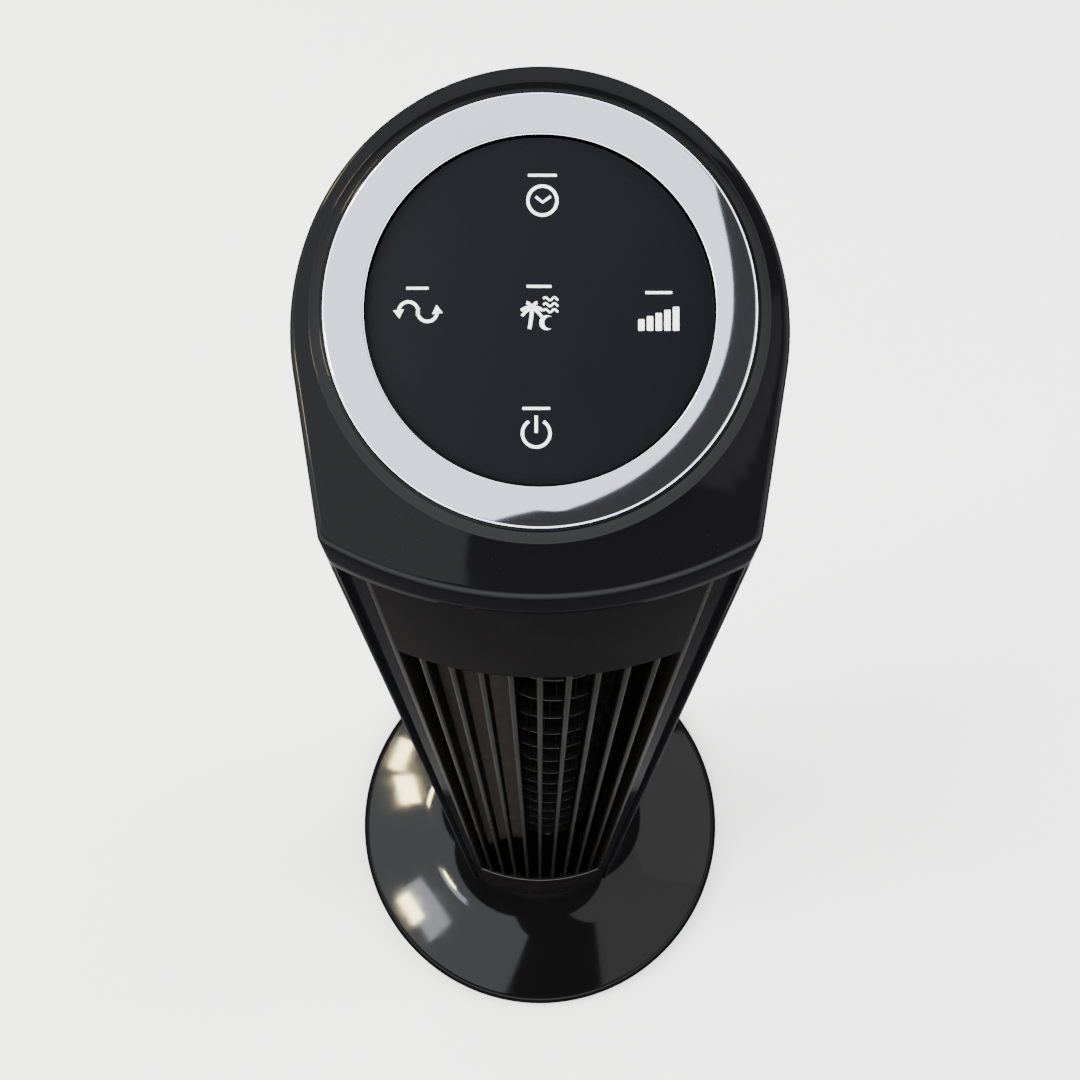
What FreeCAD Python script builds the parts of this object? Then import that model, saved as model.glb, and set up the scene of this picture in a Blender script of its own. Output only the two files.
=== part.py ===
"""Tower fan: a tall slim housing that swings on a domed round base.

The row frame has +Z up, with its origin on the floor under the centre of the base, and the
front of the fan faces -Y. All lengths are in millimetres and all angles in degrees.
"""
import FreeCAD, Part
import math
import os

import Sketcher

DOC = FreeCAD.newDocument("tower_fan")
UP = FreeCAD.Vector(0, 0, 1)
SIDE = FreeCAD.Vector(1, 0, 0)
NODES = []

# Driving dimensions: name, value, what it is.
DIMENSIONS = (
    # base
    ("foot_height", 3, "rubber feet, from the floor to the bottom plate"),
    ("foot_radius", 8, "radius of one rubber foot"),
    ("foot_circle", 112, "radius of the circle that the feet stand on"),
    ("base_radius", 130.4, "outer radius of the base"),
    ("base_wall", 2.4, "wall of the base cover"),
    ("rim_top", 6.5, "height where the rim starts to round over"),
    ("rim_round", 5.2, "radius of the rim's rounded shoulder"),
    ("shoulder_radius", 125.4, "where the shoulder meets the shallow slope"),
    ("shoulder_height", 11.2, "height of that meeting line"),
    ("flare_radius", 85, "where the shallow slope turns up into the neck"),
    ("flare_height", 17, "height of that turn"),
    ("flare_round", 105, "radius of the concave flare"),
    ("neck_radius", 43, "radius of the flat deck on top of the neck"),
    ("deck_height", 31.6, "height of that deck"),
    ("plate_thick", 2, "bottom plate"),
    ("weight_outer", 98, "ballast ring, outer radius"),
    ("weight_inner", 46, "ballast ring, inner radius"),
    ("weight_thick", 5, "ballast ring, thickness"),
    ("gland_width", 10, "cord gland, width"),
    ("gland_depth", 9, "cord gland, from its outer face inwards"),
    ("gland_height", 5, "cord gland, height"),
    ("lead_width", 5.8, "opening for the flat lead, width"),
    ("lead_height", 3, "opening for the flat lead, height"),
    ("gland_inset", 0.4, "how far the gland stays behind the rim"),
    ("lead_drop", 0.9, "from the gland's underside to its opening"),
    ("boss_radius", 3.6, "radius of every screw boss"),
    ("boss_height", 7, "height of the bosses in the base"),
    # pivot between base and tower
    ("post_radius", 15, "hollow pivot post, outer radius"),
    ("post_bore", 9, "hollow pivot post, cable bore radius"),
    ("post_flange", 30, "pivot post's flange under the deck, radius"),
    ("post_flange_thick", 3, "thickness of that flange"),
    ("post_top", 53, "height of the post's top"),
    ("running_gap", 0.06, "radial clearance of every running fit"),
    ("washer_outer", 36, "thrust washer, outer radius"),
    ("washer_inner", 17, "thrust washer, inner radius"),
    ("washer_thick", 1.3, "thrust washer, thickness"),
    ("clip_thick", 1.4, "retaining ring, thickness"),
    ("clip_outer", 18, "retaining ring, outer radius"),
    ("clip_slit", 4, "retaining ring, width of its opening"),
    ("clip_play", 0.2, "lift of the retaining ring above the bearing hub"),
    ("groove_depth", 1, "depth of the post's groove for that ring"),
    ("post_screw_circle", 23.25, "circle of the screws in the post's flange"),
    ("post_screw_sunk", 0.05, "how far those screws stand below the flange"),
    ("gear_bottom", 46.6, "height of the gear pair's lower faces"),
    ("gear_width", 6, "face width of the gears"),
    ("tooth_module", 1, "gear module"),
    ("ring_teeth", 36, "teeth of the fixed gear"),
    ("pinion_teeth", 12, "teeth of the driving pinion"),
    ("tooth_root_width", 1.7, "tooth width at the root"),
    ("tooth_tip_width", 0.6, "tooth width at the tip"),
    ("tooth_sunk", 0.4, "how far a tooth is sunk into its disc"),
    # tower outline
    ("corner_half_width", 47, "half the width across the two front corners"),
    ("front_centre", 43, "centre of the bowed front, behind the axis"),
    ("front_round", 100.2, "radius of the bowed front"),
    ("back_centre", 3.2, "centre of the round back, ahead of the axis"),
    ("back_round", 53, "radius of the round back"),
    ("shell_wall", 2.2, "wall of the rear shell"),
    ("fit_gap", 0.3, "gap between pieces that are assembled"),
    ("tower_bottom", 33, "underside of the tower"),
    ("seam_height", 763, "seam between tower and top cap"),
    ("slot_bottom", 138, "lower end of the outlet slots"),
    ("slot_top", 701, "upper end of the outlet slots"),
    ("slot_width", 3.2, "width of one intake slot"),
    ("shell_lip", 1.7, "how far the shell folds round each front corner"),
    ("shell_hole_gap", 0.2, "clearance round the screws that pass through the shell"),
    # front grille
    ("grille_half_angle", 22.9, "half the angle that the front panel covers"),
    ("grille_inset", 0.4, "how far the front panel lies behind the outline"),
    ("panel_thick", 2.4, "front panel's wall"),
    ("rib_pitch", 7.75, "spacing of the upright ribs"),
    ("rib_width", 1.9, "width of one rib"),
    ("rib_depth", 9, "depth of the ribs"),
    ("rib_inset", 0.2, "how far the ribs lie behind the front panel"),
    ("rib_overlap", 1, "how far the ribs run into each blank band"),
    ("rail_angle", 1.0, "angle that one side rail of the grille covers"),
    ("trim_recess", 1.8, "how far the side trims lie behind the front"),
    ("trim_thick", 2, "side trim's wall"),
    ("trim_angle", 4.2, "angle that one side trim covers"),
    ("trim_gap_angle", 0.25, "angle between the front panel and a side trim"),
    ("front_room", 3, "room kept ahead of the front panel"),
    ("rail_gap", 0.8, "room kept behind the front panel's rails"),
    # air path
    ("wheel_x", 5, "fan wheel axis, to the right of the tower axis"),
    ("wheel_y", 4, "fan wheel axis, behind the tower axis"),
    ("wheel_radius", 31, "fan wheel, outer radius"),
    ("wheel_inner", 24, "fan wheel, radius inside the blades"),
    ("wheel_bottom", 140, "lower end of the fan wheel"),
    ("wheel_pitch", 33, "length of one segment of the fan wheel"),
    ("disc_thick", 1.6, "thickness of each disc of the fan wheel"),
    ("blade_thick", 1.1, "thickness of one blade"),
    ("blade_round", 9, "radius of a blade's curve"),
    ("blade_lean", 1.5, "how far a blade's inner edge is turned back"),
    ("guide_thick", 2, "wall of both air guides"),
    ("cutoff_round", 34, "cut-off wall, radius"),
    ("cutoff_x", -15.3, "cut-off wall, centre"),
    ("cutoff_y", -62.7, "cut-off wall, centre"),
    ("cutoff_start", 80.2, "cut-off wall, where its arc starts"),
    ("cutoff_sweep", 52.5, "cut-off wall, angle that it covers"),
    ("scroll_round", 38, "scroll wall, radius"),
    ("scroll_x", 2, "scroll wall, centre"),
    ("scroll_y", 1, "scroll wall, centre"),
    ("scroll_start", -20, "scroll wall, where its arc starts"),
    ("scroll_sweep", 110, "scroll wall, angle that it covers"),
    ("outlet_wall", 27, "straight end of the scroll wall, along Y"),
    ("outlet_overlap", 0.4, "how far that end runs into the curved part"),
    ("guide_gap", 0.2, "gap between the air guides and each divider"),
    ("disc_web", 2, "width of a disc inside the blades"),
    ("blade_inset", 0.4, "how far the blades stay inside the discs"),
    ("segment_twist", 4, "turn of each segment against the one below"),
    ("hub_boss_radius", 9, "boss on the wheel's hub, radius"),
    ("hub_boss_height", 11, "boss on the wheel's hub, height"),
    ("stub_reach", 8, "how far the upper stub runs into its bush"),
    # lower plate, motors
    ("floor_thick", 3, "tower floor"),
    ("hub_height", 8, "bearing hub on the tower floor"),
    ("hub_radius", 21, "outer radius of that hub"),
    ("bracket_bottom", 54.5, "height of the swing drive's bracket"),
    ("bracket_thick", 1.5, "thickness of that bracket"),
    ("bracket_length", 67, "length of that bracket, along X"),
    ("bracket_width", 63, "width of that bracket, along Y"),
    ("bracket_left", -31, "left end of that bracket"),
    ("bracket_front", -32, "front edge of that bracket"),
    ("bracket_window", 7.5, "hole in the bracket round the pinion's shaft"),
    ("bracket_post", 3.5, "radius of the posts that carry the bracket"),
    ("bracket_post_gap", 1, "how far those posts start above the floor's face"),
    ("stepper_radius", 14, "swing motor, radius of its can"),
    ("stepper_height", 19, "swing motor, height of its can"),
    ("stepper_offset", 8, "from the can's centre to the output shaft"),
    ("drive_shaft_radius", 2.5, "swing motor's output shaft"),
    ("shaft_overhang", 0.6, "how far that shaft reaches below the pinion"),
    ("shaft_depth", 8, "how far that shaft runs into the can"),
    ("socket_depth", 9, "depth of the hole in the can for that shaft"),
    ("ear_length", 42, "swing motor's mounting ears, end to end"),
    ("ear_width", 7, "mounting ears, width"),
    ("ear_thick", 1, "mounting ears, thickness"),
    ("ear_screw_reach", 17.5, "from the can's centre to an ear's screw"),
    ("motor_plate_bottom", 127, "height of the plate above the fan motor"),
    ("divider_thick", 3, "thickness of the two divider plates"),
    ("motor_radius", 32, "fan motor, radius of its shells"),
    ("motor_bottom", 80, "height of the fan motor's lower face"),
    ("motor_wall", 1.6, "wall of the fan motor's shells"),
    ("core_outer", 30, "stator core, outer radius"),
    ("core_inner", 17.2, "stator core, bore radius"),
    ("core_height", 20, "stator core, height"),
    ("rotor_radius", 16.6, "rotor, radius"),
    ("shaft_radius", 4, "fan shaft, radius"),
    ("bearing_outer", 8, "fan bearings, outer radius"),
    ("bearing_height", 6, "fan bearings, height"),
    ("seat_wall", 2, "wall round each fan bearing"),
    ("coil_height", 5, "height of the windings above and below the core"),
    ("coil_outer_gap", 3, "windings, gap to the core's outer face"),
    ("coil_inner_gap", 1.5, "windings, gap to the core's bore"),
    ("motor_gap", 1, "gap between the fan motor and the plate above it"),
    ("shaft_below", 3, "how far the fan shaft reaches below the motor"),
    ("shaft_above", 12, "how far the fan shaft reaches into the wheel"),
    ("motor_screw_inset", 4, "motor screws, from the motor's outer face"),
    ("cup_wall", 3, "wall of the cup round the upper bearing"),
    ("cup_height", 9, "height of that cup"),
    ("upper_plate_bottom", 706, "height of the plate above the fan wheel"),
    # top cap and controls
    ("panel_tilt", 18.8, "slope of the control panel, down towards the front"),
    ("cap_front_height", 16, "height of the cap's wall at its front corners"),
    ("cap_corner_reach", 45.5, "how far the front corners lie ahead of the axis"),
    ("cap_wall", 2.5, "wall of the top cap"),
    ("cap_edge_round", 1.6, "round on the cap's upper edge"),
    ("plinth_base", 48.6, "raised plinth round the ring, lower radius"),
    ("plinth_top", 46.4, "raised plinth round the ring, upper radius"),
    ("plinth_height", 1.8, "height of that plinth"),
    ("ring_outer", 45.7, "bright ring, outer radius"),
    ("ring_inner", 36.8, "bright ring, inner radius"),
    ("ring_thick", 2.8, "bright ring, thickness"),
    ("ring_seat_gap", 0.15, "gap between the bright ring and its recess"),
    ("lens_gap", 0.3, "gap between the touch panel and the bright ring"),
    ("window_margin", 4, "ledge that carries the touch panel"),
    ("lens_thick", 1.6, "touch panel, thickness"),
    ("board_radius", 37.5, "control board, radius"),
    ("board_thick", 1.6, "circuit boards, thickness"),
    ("board_drop", 9, "from the cap's face down to the control board"),
    ("spring_radius", 2.5, "touch springs, radius"),
    ("board_boss_inset", 0.6, "board bosses, less than a screw's head"),
    ("board_boss_gap", 2, "board bosses, gap to the cap's outer face"),
    ("power_board_width", 60, "power board, width"),
    ("power_board_height", 36, "power board, height"),
    ("power_board_place", 30, "power board, distance behind the axis"),
    ("power_board_lift", 12, "power board, height above the upper plate"),
    ("holder_width", 4, "power board's holders, width"),
    ("holder_depth", 8, "power board's holders, depth"),
    ("holder_height", 14, "power board's holders, height"),
    ("holder_gap", 0.2, "gap between the power board and a holder"),
    ("screw_radius", 1.5, "shank radius of every small screw"),
    ("screw_head", 3, "head radius of every small screw"),
    ("head_thick", 1.4, "head thickness of every small screw"),
    ("base_screw", 5, "screws in the bottom plate, length"),
    ("post_screw", 3, "screws in the post's flange, length"),
    ("bracket_screw", 5, "screws in the bracket, length"),
    ("stepper_screw", 4, "screws in the swing motor's ears, length"),
    ("motor_screw", 6, "fan motor's screws, length"),
    ("shell_screw", 8, "screws in the back of the shell, length"),
    ("shell_screw_radius", 1.1, "those screws, shank radius"),
    ("shell_head_thick", 1.2, "those screws, head thickness"),
    ("board_head_inset", 0.5, "control board's screws, smaller head"),
    ("board_head_thick", 1.2, "control board's screws, head thickness"),
    ("board_shank_inset", 0.3, "control board's screws, thinner shank"),
    ("board_screw", 5, "control board's screws, length"),
    ("board_screw_overlap", 0.5, "how far their heads and shanks overlap"),
)

# Counts, and angles that only lay repeated features out.
BASE_FEET = 5
FOOT_START = 90
BASE_SCREW_START = 54
POST_SCREWS = 4
POST_SCREW_START = 45
MOTOR_SCREWS = 3
MOTOR_SCREW_START = 30
SLOT_ROWS = 12
SLOT_COLUMNS = 17
COLUMN_STEP = 6.2
ROW_START = 0.12
ROW_OPEN = 0.76
SIDE_RIBS = 4
FAN_SEGMENTS = 17
BLADES = 26
SHELL_SCREW_ANGLES = (35, 145)
FRONT_HALF_ANGLE = 30
DEDENDUM = 1.25
ADDENDUM = 0.9

# Places of the bracket's posts, of the control board's bosses and of the touch springs.
BRACKET_POSTS = ((-26, -22), (32, -27), (31, 26), (-26, 24))
BOARD_BOSSES = ((30.4, 17.5), (-30.4, 17.5), (0, -35.1))
TOUCH_PLACES = ((0, 21), (-26, 1), (0, 1), (26, 1), (0, -25))

# Parts on the power board: length, width, height, then the lowest corner measured from the
# tower's axis and from the board's lower edge.
BOARD_BLOCKS = ((18, 14, 16, -26, 16, 4), (14, 12, 18, 6, 18, 6))
BOARD_CAPACITOR = (5, 14, -2, 24, 4)

# Where the rear shell stops, ahead of the tower's axis.
SHELL_FRONT = 40

# Lengths that only have to pass right through what they cut.
THROUGH = 30
BELOW = 5
CUTTER_WIDTH = 240
CUTTER_HEIGHT = 120
CAP_BLANK = 60


class Size:
    """A number together with the sheet expression that drives it."""

    def __init__(self, value, text):
        self.value = float(value)
        self.text = text

    def joined(self, other, sign, value):
        right = other.text if isinstance(other, Size) else repr(other)
        return Size(value, f"({self.text} {sign} {right})")

    def __add__(self, other):
        return self.joined(other, "+", self.value + number(other))

    def __sub__(self, other):
        return self.joined(other, "-", self.value - number(other))

    def __mul__(self, other):
        return self.joined(other, "*", self.value * number(other))

    def __truediv__(self, other):
        return self.joined(other, "/", self.value / number(other))

    def __neg__(self):
        return Size(-self.value, f"(-1 * {self.text})")


def number(item):
    return item.value if isinstance(item, Size) else float(item)


def make_sheet():
    """Write the driving dimensions into the sheet and return them by name."""
    sheet = DOC.addObject("Spreadsheet::Sheet", "dims")
    sizes = {}
    for row, (name, value, note) in enumerate(DIMENSIONS, start=1):
        sheet.set(f"A{row}", name)
        sheet.set(f"B{row}", str(value))
        sheet.set(f"C{row}", note)
        sheet.setAlias(f"B{row}", name)
        sizes[name] = Size(value, f"dims.{name}")
    DOC.recompute()
    return sizes


def bind(item, prop, size):
    """Drive one property of an object by a size, or set it to a plain number."""
    if isinstance(size, Size):
        item.setExpression(prop, size.text)
    elif prop.startswith("Placement"):
        item.setExpression(prop, repr(float(size)))
    else:
        setattr(item, prop, size)


def place(item, x=0, y=0, z=0, turn=0, axis=UP):
    """Put an object at a bound position, turned by a bound angle about an axis."""
    item.Placement = FreeCAD.Placement(FreeCAD.Vector(number(x), number(y), number(z)),
                                       FreeCAD.Rotation(axis, number(turn)))
    for letter, size in (("x", x), ("y", y), ("z", z)):
        if isinstance(size, Size):
            item.setExpression(f"Placement.Base.{letter}", size.text)
    if isinstance(turn, Size):
        item.setExpression("Placement.Rotation.Angle", turn.text)
    return item


def cylinder(radius, height, x=0, y=0, z=0, angle=360, turn=0, axis=UP):
    item = DOC.addObject("Part::Cylinder", "cylinder")
    bind(item, "Radius", radius)
    bind(item, "Height", height)
    bind(item, "Angle", angle)
    return place(item, x, y, z, turn, axis)


def cone(low_radius, high_radius, height, x=0, y=0, z=0, turn=0, axis=UP):
    item = DOC.addObject("Part::Cone", "cone")
    bind(item, "Radius1", low_radius)
    bind(item, "Radius2", high_radius)
    bind(item, "Height", height)
    return place(item, x, y, z, turn, axis)


def block(length, width, height, x=0, y=0, z=0, turn=0, axis=UP):
    """A box whose lowest corner is at (x, y, z) before it is turned about that corner."""
    item = DOC.addObject("Part::Box", "block")
    bind(item, "Length", length)
    bind(item, "Width", width)
    bind(item, "Height", height)
    return place(item, x, y, z, turn, axis)


def cut(base, *tools):
    """Take one or more solids away from another."""
    tool = tools[0] if len(tools) == 1 else fuse(*tools)
    item = DOC.addObject("Part::Cut", "cut")
    item.Base = base
    item.Tool = tool
    return item


def fuse(*parts):
    if len(parts) == 1:
        return parts[0]
    item = DOC.addObject("Part::MultiFuse", "fuse")
    item.Shapes = list(parts)
    return item


def common(first, second):
    item = DOC.addObject("Part::MultiCommon", "common")
    item.Shapes = [first, second]
    return item


def group(*parts):
    """Separate solids that share one node, such as a set of equal screws."""
    item = DOC.addObject("Part::Compound", "group")
    item.Links = list(parts)
    return item


def node(name, item):
    """Name a finished sub-part."""
    item.Label = name
    NODES.append(item)
    return item


def tube(outer, inner, height, x=0, y=0, z=0, angle=360, turn=0, axis=UP):
    """A round tube, or a sector of one."""
    hole = cylinder(inner, height, x, y, z, angle, turn, axis)
    return cut(cylinder(outer, height, x, y, z, angle, turn, axis), hole)


# ------------------------------------------------------------------ sketches

def new_body(name):
    body = DOC.addObject("PartDesign::Body", name)
    body.Label = name
    return body


def new_sketch(body, name, role="XY_Plane", height=None):
    """A sketch on one of the body's own origin planes, raised by a bound height."""
    sketch = body.newObject("Sketcher::SketchObject", name)
    plane = [f for f in body.Origin.OriginFeatures if f.Role == role][0]
    sketch.AttachmentSupport = [(plane, "")]
    sketch.MapMode = "FlatFace"
    if height is not None:
        sketch.setExpression("AttachmentOffset.Base.z", height.text)
    return sketch


def limit(sketch, kind, *where, size):
    """Add one dimension to a sketch, driven by a size."""
    index = sketch.addConstraint(Sketcher.Constraint(kind, *where, number(size)))
    if isinstance(size, Size):
        sketch.setExpression(f"Constraints[{index}]", size.text)


def pin_point(sketch, item, end, x, y):
    """Fix one point of a sketch element, measured from the sketch's origin."""
    for kind, size in (("DistanceX", x), ("DistanceY", y)):
        limit(sketch, kind, item, end, size=size)


def sketch_circle(sketch, radius, x=0, y=0):
    centre = FreeCAD.Vector(number(x), number(y), 0)
    item = sketch.addGeometry(Part.Circle(centre, UP, number(radius)), False)
    pin_point(sketch, item, 3, x, y)
    limit(sketch, "Radius", item, size=radius)


def arc_between(start, end, radius):
    """The shorter arc between two points, drawn anticlockwise.

    A positive radius bulges to the right of the way from start to end, which is the
    anticlockwise way; a negative one bulges to the left, so the arc runs from end to start.
    """
    if radius < 0:
        return arc_between(end, start, -radius)
    chord = end - start
    half = chord.Length / 2
    left = FreeCAD.Vector(-chord.y, chord.x, 0).normalize()
    centre = (start + end) * 0.5 + left * math.sqrt(radius * radius - half * half)
    first = math.atan2(start.y - centre.y, start.x - centre.x)
    last = math.atan2(end.y - centre.y, end.x - centre.x)
    return Part.ArcOfCircle(Part.Circle(centre, UP, radius), first, last)


def closed_outline(sketch, corners):
    """A closed outline. A corner is (x, y), or (x, y, radius) if an arc leaves it."""
    points = [FreeCAD.Vector(number(c[0]), number(c[1]), 0) for c in corners]
    count = len(corners)
    backwards = [len(corner) == 3 and number(corner[2]) < 0 for corner in corners]
    for index, corner in enumerate(corners):
        start = points[index]
        end = points[(index + 1) % count]
        if len(corner) == 2:
            sketch.addGeometry(Part.LineSegment(start, end), False)
        else:
            sketch.addGeometry(arc_between(start, end, number(corner[2])), False)
    for index, corner in enumerate(corners):
        following = (index + 1) % count
        leave = 1 if backwards[index] else 2
        enter = 2 if backwards[following] else 1
        sketch.addConstraint(Sketcher.Constraint("Coincident", index, leave, following, enter))
        pin_point(sketch, index, 3 - leave, corner[0], corner[1])
        if len(corner) == 3:
            size = corner[2]
            bound = size if number(size) > 0 else -size
            limit(sketch, "Radius", index, size=bound)


def pad(body, sketch, height):
    item = body.newObject("PartDesign::Pad", "pad")
    item.Profile = sketch
    bind(item, "Length", height)
    DOC.recompute()
    return item


def revolve(body, sketch):
    """Turn a sketch on the XZ plane a full turn about the Z axis."""
    item = body.newObject("PartDesign::Revolution", "turned")
    item.Profile = sketch
    item.ReferenceAxis = (sketch, ["V_Axis"])
    item.Angle = 360
    DOC.recompute()
    return item


def polar_pattern(body, feature, count):
    item = body.newObject("PartDesign::PolarPattern", "pattern")
    item.Originals = [feature]
    axis = [f for f in body.Origin.OriginFeatures if f.Role == "Z_Axis"][0]
    item.Axis = (axis, [""])
    item.Angle = 360
    bind(item, "Occurrences", count if isinstance(count, Size) else int(count))
    body.Tip = item
    DOC.recompute()
    return item


def tower_prism(name, inset, bottom, height):
    """The tower's outline, drawn inside itself by an inset and padded upwards.

    The outline has a bowed front, two straight sides that close in towards the front, and a
    round back that the sides run into without a corner.
    """
    body = new_body(name)
    sketch = new_sketch(body, f"{name}_outline", height=bottom)
    front = D["front_round"] - inset
    back = D["back_round"] - inset
    half = D["corner_half_width"] - inset
    front_y = D["front_centre"]
    back_y = -D["back_centre"]
    corner_y = number(front_y) - math.sqrt(number(front) ** 2 - number(half) ** 2)
    corner = FreeCAD.Vector(number(half), corner_y, 0)
    reach = corner - FreeCAD.Vector(0, number(back_y), 0)
    turn = math.atan2(reach.y, reach.x) + math.acos(number(back) / reach.Length)
    touch = FreeCAD.Vector(number(back) * math.cos(turn),
                           number(back_y) + number(back) * math.sin(turn), 0)
    left_corner = FreeCAD.Vector(-corner.x, corner.y, 0)
    left_touch = FreeCAD.Vector(-touch.x, touch.y, 0)
    rear = FreeCAD.Vector(0, number(back_y) + number(back), 0)
    sketch.addGeometry(arc_between(touch, rear, number(back)), False)
    sketch.addGeometry(arc_between(rear, left_touch, number(back)), False)
    sketch.addGeometry(Part.LineSegment(left_touch, left_corner), False)
    sketch.addGeometry(arc_between(left_corner, corner, number(front)), False)
    sketch.addGeometry(Part.LineSegment(corner, touch), False)
    sketch.addConstraint(Sketcher.Constraint("Tangent", 0, 2, 1, 1))
    sketch.addConstraint(Sketcher.Constraint("Tangent", 1, 2, 2, 1))
    sketch.addConstraint(Sketcher.Constraint("Coincident", 2, 2, 3, 1))
    sketch.addConstraint(Sketcher.Constraint("Coincident", 3, 2, 4, 1))
    sketch.addConstraint(Sketcher.Constraint("Tangent", 4, 2, 0, 1))
    limit(sketch, "DistanceX", 0, 2, size=0)
    pin_point(sketch, 0, 3, 0, back_y)
    limit(sketch, "Radius", 0, size=back)
    pin_point(sketch, 3, 3, 0, front_y)
    limit(sketch, "Radius", 3, size=front)
    limit(sketch, "DistanceX", 3, 2, size=half)
    limit(sketch, "DistanceX", 3, 1, size=-half)
    sketch.addConstraint(Sketcher.Constraint("Equal", 0, 1))
    pad(body, sketch, height)
    return body


# ------------------------------------------------------------------ base

def build_base_cover():
    """Domed cover: rounded rim, shallow slope, concave flare and a flat deck on the neck."""
    body = new_body("base_dome")
    sketch = new_sketch(body, "base_profile", "XZ_Plane")
    wall = D["base_wall"]
    radius = D["base_radius"]
    deck = D["deck_height"]
    bore = D["post_radius"] + D["fit_gap"]
    closed_outline(sketch, (
        (radius - wall, D["foot_height"]),
        (radius, D["foot_height"]),
        (radius, D["rim_top"], D["rim_round"]),
        (D["shoulder_radius"], D["shoulder_height"]),
        (D["flare_radius"], D["flare_height"], -D["flare_round"]),
        (D["neck_radius"], deck),
        (bore, deck),
        (bore, deck - wall),
        (D["neck_radius"] - wall / 2, deck - wall, D["flare_round"] + wall),
        (D["flare_radius"] - wall / 8, D["flare_height"] - wall),
        (D["shoulder_radius"] - wall / 4, D["shoulder_height"] - wall),
        (radius - wall, D["rim_top"] - wall / 2),
    ))
    revolve(body, sketch)
    bosses = [cylinder(D["boss_radius"], D["boss_height"], x, y, base_inside())
              for x, y in round_places(BASE_FEET, D["foot_circle"], BASE_SCREW_START)]
    node("base_cover", cut(fuse(body, *bosses), gland_space()))


def gland_space():
    """The notch in the rear of the rim that the cord gland sits in."""
    gap = D["fit_gap"]
    width = D["gland_width"] + gap * 2
    return block(width, THROUGH, D["gland_height"] + gap * 2, -width / 2,
                 D["base_radius"] - D["gland_depth"] - gap, D["foot_height"] - gap)


def build_bottom_plate():
    """Flat plate that closes the base from below, with a hole for the air under the pivot."""
    rim = D["base_radius"] - D["base_wall"] - D["fit_gap"]
    plate = cylinder(rim, D["plate_thick"], z=D["foot_height"])
    vent = cylinder(D["post_bore"], D["plate_thick"], z=D["foot_height"])
    node("base_bottom_plate", cut(plate, vent, gland_space()))


def base_inside():
    """Height of the bottom plate's upper face."""
    return D["foot_height"] + D["plate_thick"]


def round_places(count, radius, first=0):
    """Evenly spaced places on a circle, as bound x and y sizes."""
    places = []
    for step in range(count):
        angle = math.radians(first + 360 * step / count)
        places.append((radius * round(math.cos(angle), 6), radius * round(math.sin(angle), 6)))
    return places


def build_base_inner_parts():
    """Ballast ring, feet and the screws that hold the bottom plate."""
    node("base_weight", tube(D["weight_outer"], D["weight_inner"], D["weight_thick"], z=base_inside()))
    feet = [cylinder(D["foot_radius"], D["foot_height"], x, y)
            for x, y in round_places(BASE_FEET, D["foot_circle"], FOOT_START)]
    node("rubber_feet", group(*feet))
    screws = [screw(x, y, D["foot_height"] - D["head_thick"], D["base_screw"], 1)
              for x, y in round_places(BASE_FEET, D["foot_circle"], BASE_SCREW_START)]
    node("base_screws", group(*screws))


def screw(x, y, z, length, way):
    """A pan-head screw; way is 1 if it is driven upwards from z and -1 if downwards."""
    thick = D["head_thick"]
    head = cylinder(D["screw_head"], thick, x, y, z if way > 0 else z - thick)
    shank_low = z if way > 0 else z - thick - length
    shank = cylinder(D["screw_radius"], length + thick, x, y, shank_low)
    return fuse(head, shank)


def build_cord_gland():
    """Bushing in the rear of the rim, with a flat opening for the mains lead."""
    low = D["foot_height"] + D["fit_gap"]
    start = D["base_radius"] - D["gland_depth"]
    body = block(D["gland_width"], D["gland_depth"] - D["gland_inset"], D["gland_height"] - D["fit_gap"],
                 -D["gland_width"] / 2, start, low)
    opening = block(D["lead_width"], THROUGH, D["lead_height"], -D["lead_width"] / 2, start - BELOW,
                    low + D["lead_drop"])
    node("cord_gland", cut(body, opening))


def build_pivot():
    """Hollow post on the base, thrust washer, retaining ring and the fixed gear."""
    deck = D["deck_height"]
    flange_bottom = deck - D["base_wall"] - D["post_flange_thick"]
    flange = cylinder(D["post_flange"], D["post_flange_thick"], z=flange_bottom)
    barrel = cylinder(D["post_radius"], D["post_top"] - flange_bottom, z=flange_bottom)
    bore = cylinder(D["post_bore"], D["post_top"] - flange_bottom, z=flange_bottom)
    groove_height = clip_height()
    depth = D["groove_depth"]
    groove = tube(D["post_radius"] + depth, D["post_radius"] - depth, D["clip_thick"], z=groove_height)
    node("pivot_post", cut(fuse(flange, barrel), bore, groove))
    node("thrust_washer", tube(D["washer_outer"], D["washer_inner"], D["washer_thick"], z=deck))
    clip = tube(D["clip_outer"], D["post_radius"] - depth, D["clip_thick"], z=groove_height)
    slit = block(D["clip_slit"], D["clip_slit"] * 2, D["clip_thick"], -D["clip_slit"] / 2,
                 -D["clip_outer"] - depth, groove_height)
    node("retaining_ring", cut(clip, slit))
    screws = [screw(x, y, flange_bottom - D["post_screw_sunk"], D["post_screw"], 1)
              for x, y in round_places(POST_SCREWS, D["post_screw_circle"], POST_SCREW_START)]
    node("post_screws", group(*screws))


def clip_height():
    """Underside of the retaining ring, just above the tower's bearing hub."""
    return D["tower_bottom"] + D["floor_thick"] + D["hub_height"] + D["clip_play"]


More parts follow.
